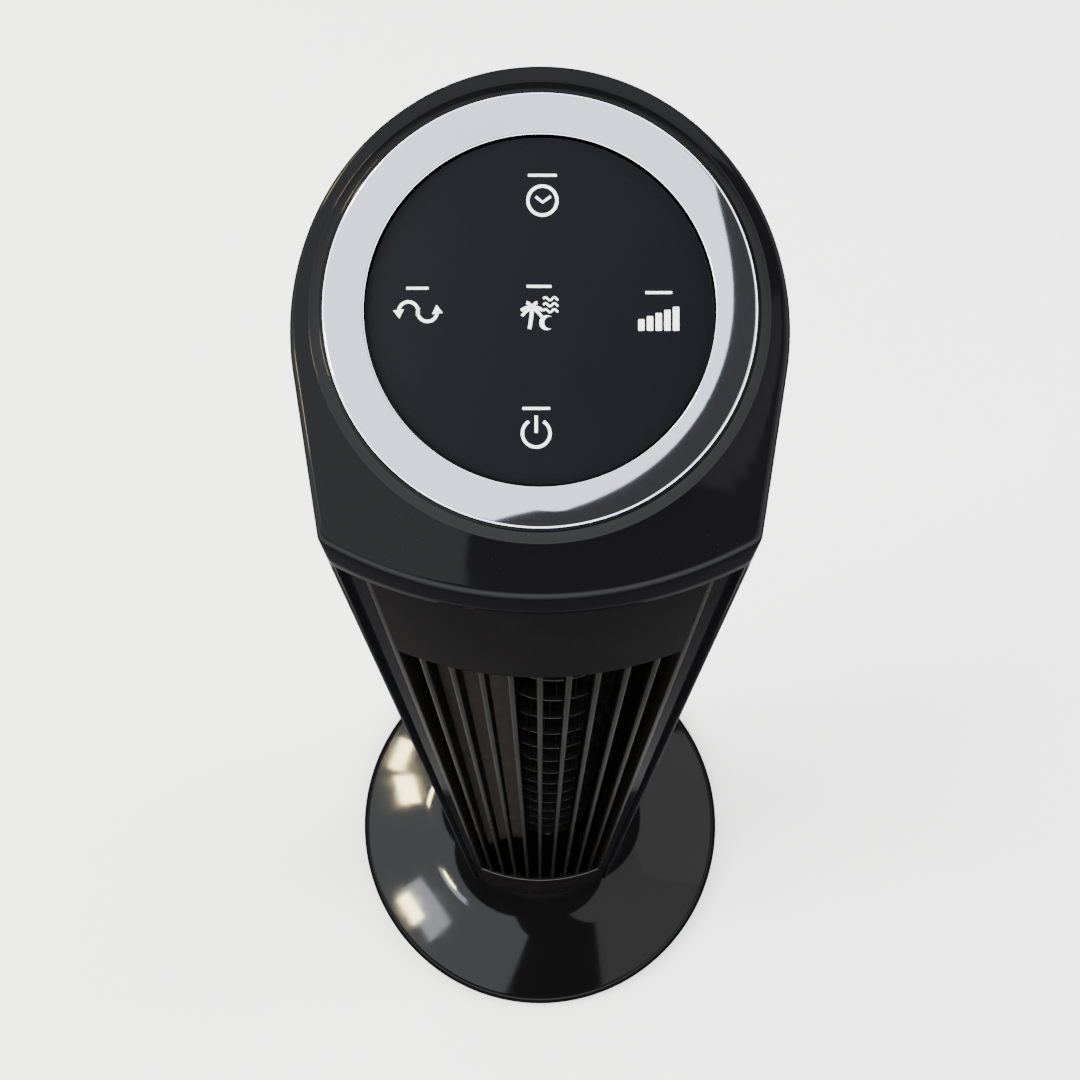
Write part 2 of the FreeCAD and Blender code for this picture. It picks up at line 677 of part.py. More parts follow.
def gear_body(name, teeth, bore, first_angle):
    """A spur gear: a disc, one tooth padded on it, and that tooth repeated round the axis."""
    body = new_body(name)
    module = D["tooth_module"]
    root = teeth * module / 2 - module * DEDENDUM
    tip = teeth * module / 2 + module * ADDENDUM
    disc = new_sketch(body, f"{name}_disc")
    sketch_circle(disc, root)
    sketch_circle(disc, bore)
    pad(body, disc, D["gear_width"])
    tooth = new_sketch(body, f"{name}_tooth")
    half_root = D["tooth_root_width"] / 2
    half_tip = D["tooth_tip_width"] / 2
    closed_outline(tooth, (
        (root - D["tooth_sunk"], -half_root),
        (tip, -half_tip),
        (tip, half_tip),
        (root - D["tooth_sunk"], half_root),
    ))
    polar_pattern(body, pad(body, tooth, D["gear_width"]), teeth)
    place(body, turn=first_angle, z=D["gear_bottom"])
    return body


def gear_distance():
    """Distance between the two gear axes, along X."""
    return (D["ring_teeth"] + D["pinion_teeth"]) * D["tooth_module"] / 2


def build_gears():
    """Fixed gear on the post and the pinion that rolls round it, with a gap facing a tooth."""
    node("fixed_gear", gear_body("fixed_gear", D["ring_teeth"], D["post_radius"], 0))
    half_tooth = 180 / number(D["pinion_teeth"])
    pinion = gear_body("drive_pinion", D["pinion_teeth"], D["drive_shaft_radius"], half_tooth)
    pinion.setExpression("Placement.Base.x", gear_distance().text)
    node("drive_pinion", pinion)


# ------------------------------------------------------------------ tower

def build_tower_floor():
    """Tower floor with the bearing hub that turns on the post."""
    plate = tower_prism("floor_plate", D["shell_wall"] + D["fit_gap"], D["tower_bottom"], D["floor_thick"])
    hub = cylinder(D["hub_radius"], D["hub_height"] + D["floor_thick"], z=D["tower_bottom"])
    bore = cylinder(D["post_radius"] + D["running_gap"], THROUGH, z=D["tower_bottom"] - BELOW)
    gap = D["bracket_post_gap"]
    posts = [cylinder(D["bracket_post"], D["bracket_bottom"] - D["tower_bottom"] - gap, x, y,
                      D["tower_bottom"] + gap) for x, y in BRACKET_POSTS]
    node("tower_floor", cut(fuse(plate, hub, *posts), bore, grille_space(D["tower_bottom"])))


def grille_space(height):
    """The room that the front panel and the side trims need in a plate at a height."""
    outer = D["front_round"] + D["front_room"]
    inner = D["front_round"] - D["rib_depth"] - D["rail_gap"]
    return front_sector(outer, inner, height - BELOW, height + THROUGH, -FRONT_HALF_ANGLE,
                        2 * FRONT_HALF_ANGLE)


def build_swing_drive():
    """Bracket, swing motor and output shaft above the fixed gear."""
    low = D["bracket_bottom"]
    plate = block(D["bracket_length"], D["bracket_width"], D["bracket_thick"], D["bracket_left"],
                  D["bracket_front"], low)
    gap = cylinder(D["bracket_window"], THROUGH, gear_distance(), 0, low - BELOW)
    cable_hole = cylinder(D["post_bore"], THROUGH, z=low - BELOW)
    node("drive_bracket", cut(plate, gap, cable_hole))
    can_low = low + D["bracket_thick"]
    centre_y = D["stepper_offset"]
    can = cylinder(D["stepper_radius"], D["stepper_height"], gear_distance(), centre_y, can_low)
    ears = block(D["ear_length"], D["ear_width"], D["ear_thick"], gear_distance() - D["ear_length"] / 2,
                 centre_y - D["ear_width"] / 2, can_low)
    socket = cylinder(D["drive_shaft_radius"] + D["running_gap"], D["socket_depth"], gear_distance(), 0,
                      can_low)
    node("swing_motor", cut(fuse(can, ears), socket))
    shaft_low = D["gear_bottom"] - D["shaft_overhang"]
    shaft = cylinder(D["drive_shaft_radius"], can_low + D["shaft_depth"] - shaft_low, gear_distance(), 0,
                     shaft_low)
    node("drive_shaft", shaft)
    thick = D["head_thick"]
    screws = [screw(x, y, can_low + thick, D["bracket_screw"], -1) for x, y in BRACKET_POSTS]
    screws += [screw(gear_distance() + reach, centre_y, can_low + D["ear_thick"] + thick,
                     D["stepper_screw"], -1)
               for reach in (-D["ear_screw_reach"], D["ear_screw_reach"])]
    node("drive_screws", group(*screws))


def build_rear_shell():
    """Wall round the sides and back, open at the front, with rows of intake slots."""
    low = D["tower_bottom"]
    height = D["seam_height"] - low
    outer = tower_prism("shell_outer", Size(0, "0"), low, height)
    inner = tower_prism("shell_inner", D["shell_wall"], low, height)
    lip = D["shell_lip"]
    front = block((D["corner_half_width"] - lip) * 2, D["back_round"], height,
                  lip - D["corner_half_width"], -(D["back_round"] + SHELL_FRONT), low)
    slots = []
    reach = D["back_round"] + BELOW
    row_pitch = (D["slot_top"] - D["slot_bottom"]) / SLOT_ROWS
    for column in range(SLOT_COLUMNS):
        angle = 90 + (column - (SLOT_COLUMNS - 1) / 2) * COLUMN_STEP
        for row in range(SLOT_ROWS):
            height_here = D["slot_bottom"] + row_pitch * (row + ROW_START)
            turned = math.radians(angle)
            x = D["slot_width"] * round(math.sin(turned) / 2, 6)
            y = -D["back_centre"] - D["slot_width"] * round(math.cos(turned) / 2, 6)
            slots.append(block(reach, D["slot_width"], row_pitch * ROW_OPEN, x, y, height_here, turn=angle))
    holes = [radial_cylinder(D["shell_screw_radius"] + D["shell_hole_gap"], D["shell_wall"] * 2,
                             D["back_round"] + D["shell_wall"] / 2, angle, height)
             for angle, height in shell_screw_places()]
    walls = cut(cut(outer, inner), front)
    node("rear_shell", cut(walls, group(*slots, *holes)))


def shell_screw_places():
    """Angle round the back and height of each screw in the rear shell."""
    plate_middle = D["divider_thick"] / 2
    heights = (D["motor_plate_bottom"] + plate_middle, D["upper_plate_bottom"] + plate_middle)
    return [(angle, height) for height in heights for angle in SHELL_SCREW_ANGLES]


def radial_cylinder(radius, length, start, angle, height):
    """A cylinder that points inwards from a radius round the centre of the round back."""
    turned = math.radians(angle)
    x = start * round(math.cos(turned), 6)
    y = start * round(math.sin(turned), 6) - D["back_centre"]
    axis = FreeCAD.Vector(math.sin(turned), -math.cos(turned), 0)
    return cylinder(radius, length, x, y, height, turn=90, axis=axis)


def front_sector(outer, inner, bottom, top, start, sweep):
    """A curved plate that follows the bowed front; angles are counted from the middle."""
    first = start - 90
    return tube(outer, inner, top - bottom, 0, D["front_centre"], bottom, sweep, first)


def build_front_grille():
    """Front panel: blank bands above and below, two side rails and the upright ribs."""
    outer = D["front_round"] - D["grille_inset"]
    inner = outer - D["panel_thick"]
    half = D["grille_half_angle"]
    low = D["tower_bottom"]
    seam = D["seam_height"]
    upper = front_sector(outer, inner, D["slot_top"], seam, -half, half * 2)
    lower = front_sector(outer, inner, low, D["slot_bottom"], -half, half * 2)
    rail = D["rail_angle"]
    rails = [front_sector(outer, outer - D["rib_depth"], low, seam, -half, rail),
             front_sector(outer, outer - D["rib_depth"], low, seam, half - rail, rail)]
    rib_low = D["slot_bottom"] - D["rib_overlap"]
    rib_height = D["slot_top"] - rib_low + D["rib_overlap"]
    bars = []
    for step in range(-SIDE_RIBS, SIDE_RIBS + 1):
        x = D["rib_pitch"] * step - D["rib_width"] / 2
        bars.append(block(D["rib_width"], THROUGH, rib_height, x, -2 * THROUGH, rib_low))
    rib_ring = front_sector(outer - D["rib_inset"], outer - D["rib_depth"], rib_low, rib_low + rib_height,
                            -half, half * 2)
    ribs = common(fuse(*bars), rib_ring)
    node("front_grille", fuse(upper, lower, ribs, *rails))


def build_side_trims():
    """Glossy strips between the front panel and the shell's corners."""
    outer = D["front_round"] - D["trim_recess"]
    inner = outer - D["trim_thick"]
    edge = D["grille_half_angle"] + D["trim_gap_angle"]
    sweep = D["trim_angle"]
    low = D["tower_bottom"]
    seam = D["seam_height"]
    node("side_trim_right", front_sector(outer, inner, low, seam, edge, sweep))
    node("side_trim_left", front_sector(outer, inner, low, seam, -edge - sweep, sweep))


def build_air_guides():
    """Cut-off wall on the left of the fan wheel and scroll wall round its right side."""
    low = D["motor_plate_bottom"] + D["divider_thick"] + D["guide_gap"]
    height = D["upper_plate_bottom"] - low - D["guide_gap"]
    thick = D["guide_thick"]
    cutoff = tube(D["cutoff_round"] + thick, D["cutoff_round"], height, D["cutoff_x"], D["cutoff_y"],
                  low, D["cutoff_sweep"], D["cutoff_start"])
    node("cutoff_wall", cutoff)
    scroll = tube(D["scroll_round"] + thick, D["scroll_round"], height, D["scroll_x"], D["scroll_y"],
                  low, D["scroll_sweep"], D["scroll_start"])
    turned = math.radians(number(D["scroll_start"]))
    wall_x = D["scroll_x"] + D["scroll_round"] * round(math.cos(turned), 6)
    wall_end = D["scroll_y"] + D["scroll_round"] * round(math.sin(turned), 6) + D["outlet_overlap"]
    outlet = block(thick, D["outlet_wall"], height, wall_x, wall_end - D["outlet_wall"], low)
    node("scroll_wall", fuse(scroll, outlet))


def build_dividers():
    """Plates that close the air duct below and above the fan wheel."""
    inset = D["shell_wall"] + D["fit_gap"]
    low = D["motor_plate_bottom"]
    lower = tower_prism("lower_divider_blank", inset, low, D["divider_thick"])
    shaft_hole = cylinder(D["bearing_outer"] + 1, THROUGH, D["wheel_x"], D["wheel_y"], low - BELOW)
    node("motor_plate", cut(lower, shaft_hole, grille_space(low)))
    high = D["upper_plate_bottom"]
    upper = tower_prism("upper_divider_blank", inset, high, D["divider_thick"])
    rubber = D["bearing_outer"] + D["seat_wall"]
    cup = cylinder(rubber + D["cup_wall"], D["cup_height"], D["wheel_x"], D["wheel_y"], high)
    cup_hole = cylinder(rubber, THROUGH, D["wheel_x"], D["wheel_y"], high - BELOW)
    node("upper_plate", cut(fuse(upper, cup), cup_hole, grille_space(high)))


def build_upper_bearing():
    """Sintered bush in a rubber ring at the top of the fan wheel."""
    x = D["wheel_x"]
    y = D["wheel_y"]
    low = D["upper_plate_bottom"]
    rubber = D["bearing_outer"] + D["seat_wall"]
    node("bearing_rubber", tube(rubber, D["bearing_outer"], D["cup_height"], x, y, low))
    bush = tube(D["bearing_outer"], D["shaft_radius"] + D["running_gap"], D["cup_height"], x, y, low)
    node("upper_bush", bush)


def build_fan_motor():
    """Two shells, laminated core with windings, bearings, rotor and shaft."""
    x = D["wheel_x"]
    y = D["wheel_y"]
    low = D["motor_bottom"]
    wall = D["motor_wall"]
    radius = D["motor_radius"]
    total = D["motor_plate_bottom"] - low - D["motor_gap"]
    half = total / 2
    core_low = low + half - D["core_height"] / 2
    shell = cylinder(radius, half, x, y, low)
    hollow = cylinder(radius - wall, half - wall, x, y, low + wall)
    lower_hole = cylinder(D["bearing_outer"], wall, x, y, low)
    seat = D["bearing_outer"] + D["seat_wall"]
    lower_seat = tube(seat, D["bearing_outer"], D["bearing_height"], x, y, low)
    node("motor_shell_lower", fuse(cut(shell, hollow, lower_hole), lower_seat))
    high = low + half
    top = low + total
    cap = cylinder(radius, half, x, y, high)
    cap_hollow = cylinder(radius - wall, half - wall, x, y, high)
    upper_hole = cylinder(D["bearing_outer"], wall, x, y, top - wall)
    upper_seat = tube(seat, D["bearing_outer"], D["bearing_height"], x, y, top - D["bearing_height"])
    node("motor_shell_upper", fuse(cut(cap, cap_hollow, upper_hole), upper_seat))
    node("stator_core", tube(D["core_outer"], D["core_inner"], D["core_height"], x, y, core_low))
    coil_outer = D["core_outer"] - D["coil_outer_gap"]
    coil_inner = D["core_inner"] + D["coil_inner_gap"]
    coils = [tube(coil_outer, coil_inner, D["coil_height"], x, y, coil_low)
             for coil_low in (core_low - D["coil_height"], core_low + D["core_height"])]
    node("stator_windings", group(*coils))
    bearing_hole = D["shaft_radius"] + D["running_gap"]
    bearings = [tube(D["bearing_outer"], bearing_hole, D["bearing_height"], x, y, low),
                tube(D["bearing_outer"], bearing_hole, D["bearing_height"], x, y,
                     top - D["bearing_height"])]
    node("motor_bearings", group(*bearings))
    rotor = tube(D["rotor_radius"], D["shaft_radius"], D["core_height"], x, y, core_low)
    node("motor_rotor", rotor)
    shaft_low = low - D["shaft_below"]
    shaft_top = D["wheel_bottom"] + D["shaft_above"]
    node("fan_shaft", cylinder(D["shaft_radius"], shaft_top - shaft_low, x, y, shaft_low))
    screw_top = D["motor_plate_bottom"] + D["divider_thick"] + D["head_thick"]
    circle = radius - D["motor_screw_inset"]
    screws = [screw(x + step_x, y + step_y, screw_top, D["motor_screw"], -1)
              for step_x, step_y in round_places(MOTOR_SCREWS, circle, MOTOR_SCREW_START)]
    node("motor_screws", group(*screws))


def build_fan_wheel():
    """Crossflow wheel: equal segments of a disc and its blades, and two hub pieces."""
    body = new_body("wheel_segment")
    disc = new_sketch(body, "segment_disc")
    sketch_circle(disc, D["wheel_radius"])
    sketch_circle(disc, D["wheel_inner"] - D["disc_web"])
    pad(body, disc, D["disc_thick"])
    blade = new_sketch(body, "segment_blade")
    inner = D["wheel_inner"]
    outer = D["wheel_radius"] - D["blade_inset"]
    thick = D["blade_thick"]
    lean = D["blade_lean"]
    closed_outline(blade, (
        (inner, lean, -D["blade_round"]),
        (outer, lean / 2),
        (outer, lean / 2 + thick, D["blade_round"] - thick / 2),
        (inner, lean + thick),
    ))
    polar_pattern(body, pad(body, blade, D["wheel_pitch"]), BLADES)
    segments = []
    for step in range(FAN_SEGMENTS):
        link = DOC.addObject("App::Link", "segment")
        link.LinkedObject = body
        place(link, D["wheel_x"], D["wheel_y"], D["wheel_bottom"] + D["wheel_pitch"] * step,
              turn=D["segment_twist"] * step)
        segments.append(link)
    node("fan_wheel", group(*segments))
    x = D["wheel_x"]
    y = D["wheel_y"]
    low = D["wheel_bottom"]
    hub = fuse(cylinder(D["wheel_inner"] - D["disc_web"], D["disc_thick"], x, y, low),
               cylinder(D["hub_boss_radius"], D["hub_boss_height"], x, y, low))
    node("wheel_hub", cut(hub, cylinder(D["shaft_radius"], THROUGH, x, y, low - BELOW)))
    top = low + D["wheel_pitch"] * FAN_SEGMENTS
    end_disc = cylinder(D["wheel_radius"], D["disc_thick"], x, y, top)
    stub = cylinder(D["shaft_radius"], D["upper_plate_bottom"] + D["stub_reach"] - top, x, y, top)
    node("wheel_end_disc", fuse(end_disc, stub))


# ------------------------------------------------------------------ top cap

def panel_height():
    """Height of the sloped control face above the tower axis."""
    tilt = math.radians(number(D["panel_tilt"]))
    return D["seam_height"] + D["cap_front_height"] + D["cap_corner_reach"] * round(math.tan(tilt), 6)


def on_panel(item_maker, lift):
    """Make a solid whose base lies parallel to the control face, lifted off it by a size."""
    tilt = math.radians(number(D["panel_tilt"]))
    y = -(lift * round(math.sin(tilt), 6))
    z = panel_height() + lift * round(math.cos(tilt), 6)
    return item_maker(y, z)


def panel_disc(radius, thick, lift):
    return on_panel(lambda y, z: cylinder(radius, thick, 0, y, z, turn=D["panel_tilt"], axis=SIDE), lift)


def panel_tube(outer, inner, thick, lift):
    return cut(panel_disc(outer, thick, lift), panel_disc(inner, thick, lift))


def panel_peg(radius, length, along, across, lift):
    """A small cylinder square to the control face, placed along X and up the slope."""
    tilt = math.radians(number(D["panel_tilt"]))
    y = -(lift * round(math.sin(tilt), 6)) + across * round(math.cos(tilt), 6)
    z = panel_height() + lift * round(math.cos(tilt), 6) + across * round(math.sin(tilt), 6)
    return cylinder(radius, length, along, y, z, turn=D["panel_tilt"], axis=SIDE)


def above_panel(lift):
    """A large block that holds everything above a plane parallel to the control face."""
    half = CUTTER_WIDTH / 2
    item = block(CUTTER_WIDTH, CUTTER_WIDTH, CUTTER_HEIGHT)
    turn = FreeCAD.Rotation(SIDE, number(D["panel_tilt"]))
    base = turn.multVec(FreeCAD.Vector(-half, -half, number(lift)))
    item.Placement = FreeCAD.Placement(base + FreeCAD.Vector(0, 0, number(panel_height())), turn)
    return item


def round_sloped_edges(body, radius):
    """Round every edge of the body's sloped upper face."""
    shape = body.Shape
    tilted = [i for i, face in enumerate(shape.Faces, start=1)
              if 0.2 < abs(face.normalAt(0, 0).y) < 0.5 and face.normalAt(0, 0).z > 0.8]
    item = DOC.addObject("Part::Fillet", "rounded")
    item.Base = body
    edges = []
    for index, edge in enumerate(shape.Edges, start=1):
        if any(edge.isSame(other) for face in tilted for other in shape.Faces[face - 1].Edges):
            edges.append((index, number(radius), number(radius)))
    item.Edges = edges
    DOC.recompute()
    return item


def build_top_cap():
    """Wedge-shaped cap with a sloped control face, a plinth and a round recess."""
    seam = D["seam_height"]
    height = D["cap_front_height"] + CAP_BLANK
    outer = tower_prism("cap_outer", Size(0, "0"), seam, height)
    wedge = cut(outer, above_panel(0))
    DOC.recompute()
    wedge = round_sloped_edges(wedge, D["cap_edge_round"])
    inner = tower_prism("cap_inner", D["cap_wall"], seam - 1, height)
    hollow = cut(inner, above_panel(-D["cap_wall"]))
    tilt = D["panel_tilt"]
    plinth = on_panel(lambda y, z: cone(D["plinth_base"], D["plinth_top"], D["plinth_height"],
                                        0, y, z, turn=tilt, axis=SIDE), Size(0, "0"))
    seat = panel_disc(D["ring_outer"] + D["ring_seat_gap"], THROUGH, Size(0, "0"))
    window = panel_disc(D["ring_inner"] - D["window_margin"], THROUGH, Size(-BELOW, f"-{BELOW}"))
    drop = D["board_drop"]
    bosses = [panel_peg(D["screw_head"] - D["board_boss_inset"], drop - D["board_boss_gap"], along, across,
                        D["board_thick"] - drop)
              for along, across in BOARD_BOSSES]
    node("top_cap", cut(fuse(cut(wedge, hollow), plinth, *bosses), seat, window))


def build_controls():
    """Bright ring, touch panel, and the board with its touch springs below them."""
    face = Size(0, "0")
    node("bright_ring", panel_tube(D["ring_outer"], D["ring_inner"], D["ring_thick"], face))
    node("touch_panel", panel_disc(D["ring_inner"] - D["lens_gap"], D["lens_thick"], face))
    drop = D["board_drop"]
    node("control_board", panel_disc(D["board_radius"], D["board_thick"], -drop))
    springs = [panel_peg(D["spring_radius"], drop - D["board_thick"], along, across,
                         D["board_thick"] - drop) for along, across in TOUCH_PLACES]
    node("touch_springs", group(*springs))
    screws = []
    for along, across in BOARD_BOSSES:
        head = panel_peg(D["screw_head"] - D["board_head_inset"], D["board_head_thick"], along, across,
                         -drop - D["board_head_thick"])
        shank = panel_peg(D["screw_radius"] - D["board_shank_inset"], D["board_screw"], along, across,
                          -drop - D["board_screw_overlap"])
        screws.append(fuse(head, shank))
    node("board_screws", group(*screws))


def build_head_electronics():
    """Power board standing behind the control board, with its parts and its two holders."""
    holder_low = D["upper_plate_bottom"] + D["divider_thick"]
    board_low = holder_low + D["power_board_lift"]
    half = D["power_board_width"] / 2
    node("power_board", block(D["power_board_width"], D["board_thick"], D["power_board_height"], -half,
                              D["power_board_place"], board_low))
    parts = [block(length, width, height, x, y, board_low + lift)
             for length, width, height, x, y, lift in BOARD_BLOCKS]
    radius, height, x, y, lift = BOARD_CAPACITOR
    parts.append(cylinder(radius, height, x, y, board_low + lift))
    node("power_parts", group(*parts))
    holder_y = D["power_board_place"] - BELOW
    holders = [block(D["holder_width"], D["holder_depth"], D["holder_height"], x, holder_y, holder_low)
               for x in (-half - D["holder_gap"] - D["holder_width"], half + D["holder_gap"])]
    node("board_holder", group(*holders))


def build_shell_screws():
    """Screws through the back of the shell into the two divider plates."""
    start = D["back_round"] + D["shell_head_thick"]
    length = D["shell_screw"] + D["shell_head_thick"]
    screws = [fuse(radial_cylinder(D["screw_head"], D["shell_head_thick"], start, angle, height),
                   radial_cylinder(D["shell_screw_radius"], length, start, angle, height))
              for angle, height in shell_screw_places()]
    node("shell_screws", group(*screws))


def check_and_write():
    """Stop if anything failed to build, then write one file for each node."""
    DOC.recompute()
    for item in DOC.Objects:
        if "Invalid" in item.State or "Error" in item.State:
            raise RuntimeError(f"{item.Name} ({item.Label}) did not build")
    os.makedirs("parts", exist_ok=True)
    whole = FreeCAD.BoundBox()
    for item in NODES:
        shape = item.Shape
        if shape.isNull() or not shape.isValid():
            raise RuntimeError(f"{item.Label} has no valid shape")
        whole.add(shape.BoundBox)
        shape.exportStep(f"parts/{item.Label}.step")
        box = shape.BoundBox
        print(f"{item.Label:20s} solids {len(shape.Solids):3d} volume {shape.Volume / 1000:9.2f} cm3 "
              f"z {box.ZMin:7.2f} to {box.ZMax:7.2f}")
    print(len(NODES), "nodes, whole", whole)


def main():
    build_base_cover()
    build_bottom_plate()
    build_base_inner_parts()
    build_cord_gland()
    build_pivot()
    build_gears()
    build_tower_floor()
    build_swing_drive()
    build_rear_shell()
    build_front_grille()
    build_side_trims()
    build_air_guides()
    build_dividers()
    build_upper_bearing()
    build_fan_motor()
    build_fan_wheel()
    build_top_cap()
    build_controls()
    build_head_electronics()
    build_shell_screws()
    check_and_write()


D = make_sheet()
main()
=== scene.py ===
"""Looks of the tower fan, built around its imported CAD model. Lengths are written in millimetres
and turned into metres where a mesh is made. +Z is up and the fan's front faces -Y."""
import math

import bmesh
import bpy
from mathutils import Matrix, Vector


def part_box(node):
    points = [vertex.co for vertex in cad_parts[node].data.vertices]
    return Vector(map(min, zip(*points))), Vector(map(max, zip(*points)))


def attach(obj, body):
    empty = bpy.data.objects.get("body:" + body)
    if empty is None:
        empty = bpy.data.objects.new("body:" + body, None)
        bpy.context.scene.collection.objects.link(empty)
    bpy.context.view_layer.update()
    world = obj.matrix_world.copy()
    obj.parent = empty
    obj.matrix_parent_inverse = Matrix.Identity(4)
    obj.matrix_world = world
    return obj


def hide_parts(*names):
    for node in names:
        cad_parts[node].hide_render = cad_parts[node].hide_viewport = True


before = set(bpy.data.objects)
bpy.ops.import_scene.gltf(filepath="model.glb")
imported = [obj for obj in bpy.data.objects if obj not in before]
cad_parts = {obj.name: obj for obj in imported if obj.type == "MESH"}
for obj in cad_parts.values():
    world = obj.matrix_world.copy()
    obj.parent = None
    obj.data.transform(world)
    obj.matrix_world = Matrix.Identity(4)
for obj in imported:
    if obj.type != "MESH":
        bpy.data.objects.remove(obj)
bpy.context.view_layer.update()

MM = 0.001


def low_of(node):
    """Lowest corner of a CAD node's box, in millimetres."""
    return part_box(node)[0] / MM


def high_of(node):
    """Highest corner of a CAD node's box, in millimetres."""
    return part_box(node)[1] / MM


# Sizes shared with the CAD model, in millimetres and degrees.
TOWER_BOTTOM = low_of("rear_shell").z
SEAM = low_of("top_cap").z
BASE_RADIUS = min(high_of("base_cover").x, high_of("base_cover").y,
                  -low_of("base_cover").x, -low_of("base_cover").y)
DECK = high_of("base_cover").z
FOOT_HEIGHT = high_of("rubber_feet").z

HALF_WIDTH = 47.0
FRONT_CENTRE = 43.0
FRONT_ROUND = 100.2
BACK_CENTRE = -3.2
BACK_ROUND = 53.0
SHELL_WALL = 2.2

SLOT_BOTTOM = 138.0
SLOT_TOP = 701.0
SLOT_ROWS = 12
SLOT_COLUMNS = 17
SLOT_WIDTH = 3.2
SLOT_STEP = 6.2
SLOT_TIP = 0.45

PANEL_HALF_ANGLE = 22.9
RIB_PITCH = 7.75
RIB_DEPTH = 9.0

RIM_ROUND = 5.2
RIM_HEIGHT = 6.5
DOME_OUTER = (125.9, 11.6)
FLARE_START = (85.0, 17.0)
FLARE_ROUND = 105.0
NECK_RADIUS = 43.0
BASE_BORE = 15.3
BASE_WALL = 2.4
FOOT_CIRCLE = 112.0
FOOT_COUNT = 5

TILT = math.radians(18.8)
PANEL_HEIGHT = SEAM + 16.0 + 45.5 * math.tan(TILT)
CAP_EDGE = 1.5
CAP_WALL = 2.5
RING_OUTER = 45.7
RING_INNER = 36.8
RING_THICK = 2.8
LENS_THICK = 1.6

DUCT_WALL = 2.0
WHEEL_CENTRE = Vector((5.0, 4.0))
WHEEL_RADIUS = 31.0
WHEEL_BORE = 22.0
WHEEL_BOTTOM = low_of("fan_wheel").z
WHEEL_SEGMENTS = 17
WHEEL_PITCH = 33.0
WHEEL_DISC = 1.6
WHEEL_TWIST = math.radians(4.0)
BLADES = 26

PANEL = Matrix.Translation((0, 0, PANEL_HEIGHT)) @ Matrix.Rotation(TILT, 4, "X")


# ------------------------------------------------------------------ node materials

class Shader:
    """A node material with one Principled shader; its helpers add and join nodes."""

    def __init__(self, name, colour, roughness, metallic=0.0, specular=0.5):
        self.material = bpy.data.materials.new(name)
        self.material.use_nodes = True
        self.tree = self.material.node_tree
        self.shader = self.tree.nodes["Principled BSDF"]
        self.set("Base Color", (*colour, 1))
        self.set("Roughness", roughness)
        self.set("Metallic", metallic)
        self.set("Specular IOR Level", specular)
        self.place = self.tree.nodes.new("ShaderNodeTexCoord").outputs["Object"]

    def set(self, socket, value):
        self.shader.inputs[socket].default_value = value

    def join(self, source, target):
        self.tree.links.new(source, target)

    def scaled_place(self, scale):
        node = self.tree.nodes.new("ShaderNodeMapping")
        node.inputs["Scale"].default_value = scale
        self.join(self.place, node.inputs["Vector"])
        return node.outputs["Vector"]

    def noise(self, scale, detail=3.0, stretch=(1, 1, 1)):
        """Smooth noise over the object; a higher scale makes it finer."""
        node = self.tree.nodes.new("ShaderNodeTexNoise")
        node.inputs["Scale"].default_value = scale
        node.inputs["Detail"].default_value = detail
        self.join(self.scaled_place(stretch), node.inputs["Vector"])
        return node.outputs["Fac"]

    def cells(self, scale):
        """Distance from the nearest of many scattered points."""
        node = self.tree.nodes.new("ShaderNodeTexVoronoi")
        node.inputs["Scale"].default_value = scale
        self.join(self.place, node.inputs["Vector"])
        return node.outputs["Distance"]

    def spread(self, source, low_in, high_in, low_out, high_out):
        """Map one range of a value to another, held at both ends."""
        node = self.tree.nodes.new("ShaderNodeMapRange")
        for index, value in enumerate((low_in, high_in, low_out, high_out), start=1):
            node.inputs[index].default_value = value
        self.join(source, node.inputs["Value"])
        return node.outputs["Result"]

    def multiply(self, first, second):
        node = self.tree.nodes.new("ShaderNodeMath")
        node.operation = "MULTIPLY"
        self.join(first, node.inputs[0])
        self.join(second, node.inputs[1])
        return node.outputs["Value"]

    def blend_colour(self, amount, first, second):
        node = self.tree.nodes.new("ShaderNodeMix")
        node.data_type = "RGBA"
        node.inputs["A"].default_value = (*first, 1)
        node.inputs["B"].default_value = (*second, 1)
        self.join(amount, node.inputs["Factor"])
        self.join(node.outputs["Result"], self.shader.inputs["Base Color"])

    def soften_grazing(self, straight, grazing, start, end):
        """Less gloss where the surface is seen edge-on, so that it doesn't mirror the pale floor.

        Real plastic does the opposite. The specular level falls from straight to grazing while
        the Layer Weight facing value rises from start to end."""
        facing = self.tree.nodes.new("ShaderNodeLayerWeight").outputs["Facing"]
        level = self.spread(facing, start, end, straight, grazing)
        self.join(level, self.shader.inputs["Specular IOR Level"])

    def rough(self, source):
        self.join(source, self.shader.inputs["Roughness"])

    def bump(self, source, height, strength=1.0):
        """Relief of a height in millimetres, added to any relief made earlier."""
        node = self.tree.nodes.new("ShaderNodeBump")
        node.inputs["Strength"].default_value = strength
        node.inputs["Distance"].default_value = height * MM
        self.join(source, node.inputs["Height"])
        earlier = self.shader.inputs["Normal"]
        if earlier.is_linked:
            self.join(earlier.links[0].from_socket, node.inputs["Normal"])
        self.join(node.outputs["Normal"], earlier)


SATIN_FADE = (0.35, 0.72)


def gloss_plastic(name, colour, dust_colour, roughness, straight, grazing, fade):
    """High-gloss moulding: faint waviness, uneven polish and specks of dust."""
    shader = Shader(name, colour, roughness)
    shader.soften_grazing(straight, grazing, *fade)
    shader.rough(shader.spread(shader.noise(70, 3.0), 0.35, 0.75, roughness * 0.8, roughness * 1.4))
    specks = shader.spread(shader.cells(520), 0.0, 0.09, 1.0, 0.0)
    patches = shader.spread(shader.noise(35), 0.5, 0.72, 0.0, 0.8)
    shader.blend_colour(shader.multiply(specks, patches), colour, dust_colour)
    shader.bump(shader.noise(20, 1.0), 0.02, 0.5)
    return shader.material


